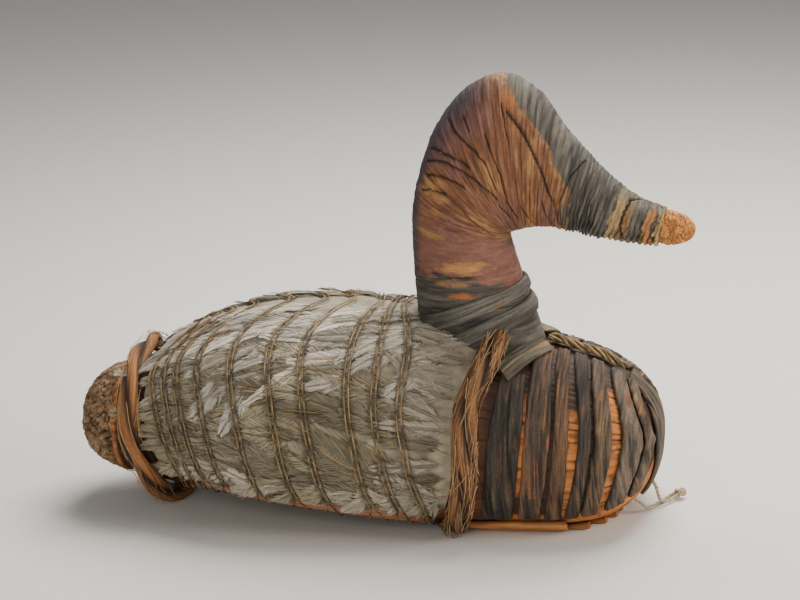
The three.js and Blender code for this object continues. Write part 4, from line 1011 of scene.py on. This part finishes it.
def loose_fibres(line, side, away, radius, count, seed):
    """Fibres that have come loose on a rope: each runs along it for 8 to 30 mm, winding slowly round, and lifts off
    at both ends."""
    random = np.random.default_rng(seed)
    part = np.linspace(0, 1, 12)[None, :]
    start, long = random.random((count, 1)) * (len(line) - 1), random.uniform(8, 30, (count, 1))
    spot = (start + part * long / np.linalg.norm(line[1] - line[0])) % (len(line) - 1)
    here = np.floor(spot).astype(int)
    turned = random.uniform(-0.3, np.pi + 0.3, (count, 1)) + part * random.uniform(-1.2, 1.2, (count, 1))
    off = 1.02 + random.uniform(0.0, 0.12, (count, 1))
    off = radius * (off + random.uniform(0.05, 0.35, (count, 1)) * (2 * part - 1) ** 4)
    between = (spot - here)[..., None]
    heart = line[here] * (1 - between) + line[here + 1] * between
    paths = heart + side[here] * (np.cos(turned) * off)[..., None] + away[here] * (np.sin(turned) * off)[..., None]
    paths[..., 2] = np.maximum(paths[..., 2], 0.3)
    wide = np.broadcast_to(random.uniform(0.10, 0.26, (count, 1)), spot.shape)
    tone = mix(colour("#6b4423"), colour("#c9a878"), random.random((count, 1)) + 0 * part)
    return tubes(paths, away[here], wide, wide * 0.7, tone)


girdle_parts.append(loose_fibres(girdle_line, girdle_side, girdle_away, GIRDLE_RADIUS, 420, 405))
piece("girdle_rope_twisted", girdle_parts, bast_rope, "fibre_rope", "girdle_rope")
tail_parts, tail_line, tail_side, tail_away = rope_parts(
    tail_rope_at, TAIL_ROPE_RADIUS, tail_rope_flat, 440, "#6b4220", "#a87240", 0.03)
tail_parts.append(loose_fibres(tail_line, tail_side, tail_away, TAIL_ROPE_RADIUS, 120, 445))
piece("tail_rope_twisted", tail_parts, bast_rope, "fibre_rope", "tail_rope")


# Breast tie: a twist of bark fibre along the ridge of the breast.
TIE_FROM, TIE_TO, TIE_RADIUS = 85, 121, 2.1
tie_run = np.linspace(0, 1, 90)
tie_tubes = []
for strand in range(5):
    turn = tie_run * 13 + strand * 2 * np.pi / 5
    sway = 0.9 * np.sin(tie_run * 11) + np.cos(turn) * 1.7 + 0.5 * noise(tie_run * 6, strand * 3.1, 470)
    lift = GAP + TIE_RADIUS + 0.6 + np.sin(turn) * 1.1 + 0.5 * noise(tie_run * 6, strand * 3.1 + 50, 471)
    x = TIE_FROM - 2 + (TIE_TO - TIE_FROM + 2) * tie_run
    path = raised(flank, x, sway * 1.4, lift)
    thick = (0.75 + 0.3 * noise(tie_run * 9, strand * 5.3, 472)) * step(-0.05, 0.1, tie_run)
    thick = thick * step(-0.05, 0.06, 1 - tie_run)
    tone = mix(colour("#4a3420"), colour("#a58c5c"), 0.45 + 0.6 * noise(tie_run * 14, strand * 2.3, 473))
    off_body = outward(flank, x, sway)
    tie_tubes.append(tubes(path[None], off_body[None], thick[None] * 1.2, thick[None], tone[None], sides=7))
piece("breast_tie_twist", tie_tubes, bast_rope, "fibre_rope", "breast_tie")


# Lashing: where each turn crosses the flank and the middle of the back, and its legs over the edge stems.
COAT_EDGE = 120
EDGE_STEM_FROM, EDGE_STEM_TO, EDGE_STEM_ANGLES, EDGE_STEM_THICK = -86, 29, (121.5, 139), 1.6
TURNS = (
    (-108, -90), (-101, -83), (-93.5, -75), (-82, -64), (-63.7, -46), (-44.5, -28), (-28.3, -14), (-6.3, 0),
    (6.5, 6), (18.6, 11.5),
)
STRAND_APART, LEG_SPREAD, HOOK_PAST_STEM = 1.1, 4.4, 5
LEG_SHARE, LAST_LEG_TO = 0.18, 18
towards_back = smooth([0, 0.3, 0.62, 1], [1, -0.15, 0, 0])
towards_edge = smooth([0, 0.3, 0.62, 1], [0, 0, 0, 10])
COAT_TOP = 3.9
STRAND_RADIUS = 0.46


def turn_x(turn, degrees):
    """Where a lashing turn lies along the body at an angle down the flank."""
    part = np.abs(degrees) / COAT_EDGE
    return turn[0] + (turn[1] - turn[0]) * towards_back(part) + towards_edge(part)


def off_lashing(x, degrees):
    """How far a place of the coat lies from the nearest lashing strand, along the body."""
    nearest = np.full(np.shape(x), 99.0)
    for turn in TURNS:
        for strand in (-1, 1):
            nearest = np.minimum(nearest, np.abs(x - turn_x(turn, degrees) - strand * STRAND_APART))
    return nearest


def pressed(x, degrees, height):
    """A height over the body, pressed down under the lashing strands."""
    return height * (1 - 0.42 * np.exp(-(off_lashing(x, degrees) / 1.7) ** 2))


def mm_per_degree(x, degrees):
    """How far one degree round the body is at a place of it."""
    return np.linalg.norm(flank(x, degrees + 0.5) - flank(x, degrees - 0.5), axis=-1)


# Coat: a lining of matted down under the feathers.
lining_columns = np.linspace(-COAT_EDGE, COAT_EDGE, 220)
lining_part, lining_degrees = np.meshgrid(np.linspace(0, 1, 260), lining_columns, indexing="ij")
lining_from = tail_rope_at(np.abs(lining_degrees)) + TAIL_ROPE_RADIUS + 1.5
lining_to = girdle_at(np.abs(lining_degrees)) - GIRDLE_RADIUS - 1.8
lining_x = lining_from + (lining_to - lining_from) * lining_part
rim = np.minimum(step(0, 0.03, lining_part), step(0, 0.03, 1 - lining_part))
rim = rim * step(0, 4, COAT_EDGE - np.abs(lining_degrees))
down = layered(lining_x / 6, lining_degrees / 3, 500, 3, 256)
lining_high = pressed(lining_x, lining_degrees, 1.1 + 0.8 * rim + 0.4 * down * rim)
lining_tone = mix(colour("#6d6450"), colour("#a89e86"), 0.5 + 0.6 * down)
lining = strap(flank, lining_x, lining_degrees, 0.5, lining_high, lining_tone,
               np.stack([lining_x, lining_degrees], -1), under=8)
piece("coat_down", lining, feather, "feathers", "feather_coat")

BARBS = 86
BARB_POINTS = np.array([0, 0.3, 0.62, 0.86, 1.0])


def feather_parts(x, degrees, length, half, heading, base, climb, tint, seed, fluff=0.25, cover=1.0):
    """A batch of feathers lying on the body, one for each entry of the arrays. A feather runs from its quill at
    (x, degrees) towards the tail, turned by heading. Each side of its shaft carries a row of barbs that leave it at
    a slant and bend towards its tip. It rises from base by climb along its length, arches over its shaft, and its
    barbs part here and there."""
    random = np.random.default_rng(seed)
    count = len(x)
    shape = (count, 2, BARBS, 1)
    at = np.linspace(0.06, 0.985, BARBS)[None, None, :, None] + np.zeros(shape)
    side = np.array([-1, 1])[None, :, None, None] + np.zeros(shape)
    long, wide, climb_by, base_at = (np.asarray(a, float)[:, None, None, None] for a in (length, half, climb, base))
    number = np.arange(count)[:, None, None, None] * 17.3 + side * 5.1
    wave = noise(at * 9, number, seed + 1)
    part_here = noise(at * 5.5 + 3, number + 40, seed + 2)
    profile = np.sin(np.pi * np.clip(at, 0, 1) ** 0.62) ** 0.55
    barb = wide * 1.3 * profile * (1 + 0.10 * wave + 0.07 * random.standard_normal(shape))
    parted = 7 * np.sign(part_here) * (np.abs(part_here) > 0.55)
    slant = np.radians(44 - 16 * at + 6 * wave + 1.2 * random.standard_normal(shape) + parted)
    q = BARB_POINTS[None, None, None, :]
    loose = (1 - at) ** 3 * fluff
    curl = 0.14 + 0.25 * loose * random.standard_normal(shape)
    a = at * long + barb * (np.cos(slant) * q + curl * q ** 2)
    b = side * barb * (np.sin(slant) * q - 0.16 * q ** 2) + side * 0.2
    turned = np.radians(heading)[:, None, None, None] + 0.0 * a
    sweep = 0.10 * np.sin(number[:, :1] * 3.3)
    b = b + sweep * (a / long) ** 2 * wide * 1.6
    x0, d0 = x[:, None, None, None], degrees[:, None, None, None]
    per_degree = mm_per_degree(x, degrees)[:, None, None, None]
    place_x = x0 - (a * np.cos(turned) - b * np.sin(turned))
    place_d = d0 + (a * np.sin(turned) + b * np.cos(turned)) / per_degree
    arch = 0.7 * (1 - (b / (wide * 1.3)) ** 2)
    flare = 1.1 * np.maximum(random.standard_normal(shape) - 1.1, 0) * q ** 2
    flare = flare + 2.2 * loose * q ** 2 * random.random(shape)
    height = base_at + climb_by * (a / long) + arch + flare + 0.08 * random.random(shape)
    height = pressed(place_x, place_d, np.maximum(height, 0.9))
    limit = np.clip(place_d, -COAT_EDGE - 4, COAT_EDGE + 4)
    paths = raised(flank, place_x, limit, height).reshape(-1, len(BARB_POINTS), 3)
    ups = outward(flank, place_x, limit).reshape(paths.shape)
    taper = np.array([0.8, 1.0, 1.0, 0.8, 0.2])
    spacing = long * 0.93 / BARBS
    wide_at = np.broadcast_to(spacing * 0.62 * taper, a.shape).reshape(-1, len(BARB_POINTS))
    thick_at = np.broadcast_to(0.11 * taper, a.shape).reshape(-1, len(BARB_POINTS))
    # Each barb's tone differs at random, and barbs along the lines between clumps are painted a quarter darker as
    # painted shadow.
    shade = 1 + 0.10 * random.standard_normal(shape) + 0.08 * wave - 0.25 * (np.abs(part_here) < 0.03)
    # Painted shadow: feathers beside the lashing strands are painted up to 55% darker.
    cord_shadow = 1 - 0.55 * np.exp(-(off_lashing(place_x, place_d) / 1.1) ** 2)
    ageing = 1 + 0.28 * layered(place_x / 22, place_d / 20, 508, 3, 256)
    tone = np.asarray(tint)[:, None, None, None, :] * (shade * cord_shadow * ageing * (1.05 - 0.2 * at))[..., None]
    keep = np.broadcast_to(random.random(shape) < cover, shape).reshape(-1)
    tone = np.broadcast_to(tone, a.shape + (3,)).reshape(-1, len(BARB_POINTS), 3)
    vanes = tubes(paths[keep], ups[keep], wide_at[keep], thick_at[keep], np.clip(tone[keep], 0, 1))

    shaft = np.linspace(-0.05, 0.97, 14)[None, :] + np.zeros((count, 1))
    a = shaft * long[:, 0, 0]
    b = sweep[:, 0, 0] * np.maximum(shaft, 0) ** 2 * wide[:, 0, 0] * 1.6
    turned = np.radians(heading)[:, None]
    place_x = x[:, None] - (a * np.cos(turned) - b * np.sin(turned))
    place_d = degrees[:, None] + (a * np.sin(turned) + b * np.cos(turned)) / per_degree[:, 0, 0]
    height = base_at[:, 0, 0] + climb_by[:, 0, 0] * shaft + 0.85
    height = pressed(place_x, place_d, np.maximum(height, 0.7))
    path = raised(flank, place_x, place_d, height)
    bold = (random.random((count, 1)) < 0.22) * (long[:, 0, 0] > 40)
    size = (0.5 + 0.4 * bold) * (1.05 - np.clip(shaft, 0, 1)) ** 0.8 * (wide[:, 0, 0] / 12) ** 0.5
    pale = mix(np.asarray(tint)[:, None] * 0.8, np.asarray(tint)[:, None] * 1.1, np.clip(shaft, 0, 1))
    yellow = mix(pale, colour("#b8853c") + 0 * pale, 0.9 * bold * (1 - 0.5 * np.clip(shaft, 0, 1)))
    shafts = tubes(path, outward(flank, place_x, place_d), size * 0.75, size * 0.55, yellow, sides=5)
    return [vanes, shafts]


def scattered(columns, rows, seed, stray):
    """Places on a staggered net of columns along the body and rows down the flank, each strayed a little."""
    random = np.random.default_rng(seed)
    x, degrees = np.meshgrid(columns, rows, indexing="ij")
    degrees = degrees + (np.arange(len(columns)) % 2)[:, None] * (rows[1] - rows[0]) / 2
    x = x + random.normal(0, stray[0], x.shape)
    degrees = degrees + random.normal(0, stray[1], x.shape)
    return x.ravel(), degrees.ravel(), random


CREAM, SHADED, WHITE = colour("#a3977a"), colour("#6b6048"), colour("#e2dacb")
for hand, side in ((-1, "right"), (1, "left")):
    x, degrees, random = scattered(np.arange(40, -68, -10.5), np.array([56, 74, 92, 108]), 520 + hand, (3.5, 4))
    tint = mix(SHADED, CREAM, random.random(len(x)))
    flank_parts = feather_parts(
        x, hand * degrees, random.uniform(52, 70, len(x)), random.uniform(10, 13.5, len(x)),
        hand * random.normal(-6, 9, len(x)), np.full(len(x), 0.9), np.full(len(x), 2.6), tint, 540 + hand)
    rows = np.arange(20, 118, 6.5)
    x = girdle_at(rows) - 11 + random.normal(0, 1.5, len(rows))
    tint = mix(SHADED, WHITE, 0.45 * random.random(len(x)))
    flank_parts += feather_parts(
        x, hand * (rows + random.normal(0, 2, len(x))), random.uniform(22, 36, len(x)), random.uniform(5, 8, len(x)),
        hand * random.normal(-4, 14, len(x)), np.full(len(x), 2.4), np.full(len(x), 1.0), tint, 550 + hand, fluff=1.0)
    x = np.arange(-104, 40, 4.5) + random.normal(0, 2, 32)
    x = x[(x > -100) & (x < 36)]
    tint = mix(CREAM, WHITE, 0.7 * random.random(len(x)))
    flank_parts += feather_parts(
        x, hand * random.uniform(106, 114, len(x)), random.uniform(12, 20, len(x)), random.uniform(3, 5.5, len(x)),
        hand * random.normal(28, 22, len(x)), np.full(len(x), 3.0), np.full(len(x), 0.8), tint, 556 + hand, fluff=2.0)
    piece(f"flank_feathers_{side}", flank_parts, feather, "feathers", "feather_coat")
    x, degrees, random = scattered(np.arange(36, -80, -9.5), np.array([9, 24, 39]), 560 + hand, (4, 4))
    tint = mix(SHADED, WHITE, random.random(len(x)) ** 0.6)
    upper_parts = feather_parts(
        x, hand * degrees, random.uniform(36, 58, len(x)), random.uniform(5, 9.5, len(x)),
        hand * random.normal(18, 14, len(x)), np.full(len(x), 1.3), np.full(len(x), 2.9), tint, 580 + hand, fluff=0.5)
    piece(f"back_feathers_{side}", upper_parts, feather, "feathers", "feather_coat")


# Edge stems: one flat stem under each lower edge of the coat.
for hand, side in ((-1, "right"), (1, "left")):
    x, across = np.meshgrid(np.linspace(EDGE_STEM_FROM, EDGE_STEM_TO, 230), np.linspace(0, 1, 34), indexing="ij")
    degrees = EDGE_STEM_ANGLES[0] + (EDGE_STEM_ANGLES[1] - EDGE_STEM_ANGLES[0]) * across
    waver = 0.8 * noise(x / 18, 0, 600 + hand) * (2 * across - 1)
    split = np.exp(-((across - 0.62 - 0.05 * noise(x / 25, 3, 601)) / 0.02) ** 2)
    high = REST + EDGE_STEM_THICK * (1 - 0.5 * np.abs(2 * across - 1) ** 4)
    high = high + 0.22 * layered(x / 25, across * 14, 602, 3, 256) - 0.8 * split
    tone = streaked(x, across * 14, 603 + hand, "#84543a", "#b98a68", "#8a6a3a", 0.12)
    # The split is painted near-black as painted shade.
    tone = mix(tone, colour("#2a1a10"), 0.8 * split)
    grain = np.stack([x, across * 14], -1)
    piece(f"edge_reed_{side}", strap(flank, x, hand * (degrees + waver), REST, high, tone, grain),
          dry_tule, "edge_stems", f"edge_stem_{side}")


def lashing_route():
    """The lashing's places as (x, degrees, height): each turn is two strands side by side over the coat, which part
    into two legs below it and hook under the edge stem."""
    over_stem = REST + EDGE_STEM_THICK + GAP + 0.4
    stem_top, stem_foot = EDGE_STEM_ANGLES
    feet = [float(turn_x(turn, COAT_EDGE)) for turn in TURNS]
    route = []
    for i, turn in enumerate(TURNS):
        after, before = TURNS[min(i + 1, len(TURNS) - 1)], TURNS[max(i - 1, 0)]
        room = (LAST_LEG_TO + float(girdle_at(140)) - feet[i]) * LEG_SHARE
        spread = min(LEG_SPREAD, (after[0] - before[0]) * LEG_SHARE, room)
        for strand in (-1, 1):
            legs = {side: [(feet[i] + strand * spread * 0.5, side * (stem_top + 4), over_stem),
                           (feet[i] + strand * spread, side * (stem_foot + 1), over_stem),
                           (feet[i] + strand * spread, side * (stem_foot + HOOK_PAST_STEM), REST)] for side in (-1, 1)}
            route += legs[strand][::-1]
            over = np.linspace(strand * COAT_EDGE, -strand * COAT_EDGE, 25)
            xs = turn_x(turn, over) + strand * STRAND_APART
            sunk = COAT_TOP - 0.8 * (1 - step(25, 50, np.abs(over)))
            route += list(zip(xs, over, sunk))
            route += legs[-strand]
    return np.array(route)


route = lashing_route()
route_fine = through(route)(np.linspace(0, 1, 30000))
lash_points = raised(flank, route_fine[:, 0], route_fine[:, 1], route_fine[:, 2])
lash_run = np.concatenate([[0], np.cumsum(np.linalg.norm(np.diff(lash_points, axis=0), axis=1))])
LASH_STEP = 0.8
lash_even = np.arange(0, lash_run[-1], LASH_STEP)
lash_places = np.column_stack([np.interp(lash_even, lash_run, route_fine[:, k]) for k in range(3)])
lash_path = raised(flank, lash_places[:, 0], lash_places[:, 1], lash_places[:, 2])
lash_up = outward(flank, lash_places[:, 0], lash_places[:, 1])
lash_wide = STRAND_RADIUS * (1 + 0.12 * noise(lash_even / 6, 0, 620))
lash_tone = mix(colour("#4c3b26"), colour("#9a8158"), 0.5 + 0.6 * noise(lash_even / 3, 0, 621))
LASH_PLY_PITCH = 5.0
lashing = tubes(lash_path[None], lash_up[None], lash_wide[None], lash_wide[None] * 0.72, lash_tone[None], sides=8,
                spin=(lash_even / LASH_PLY_PITCH * 2 * np.pi)[None])
piece("lashing_strands", lashing, spun_fibre, "lashing_cord", "lashing_cord")
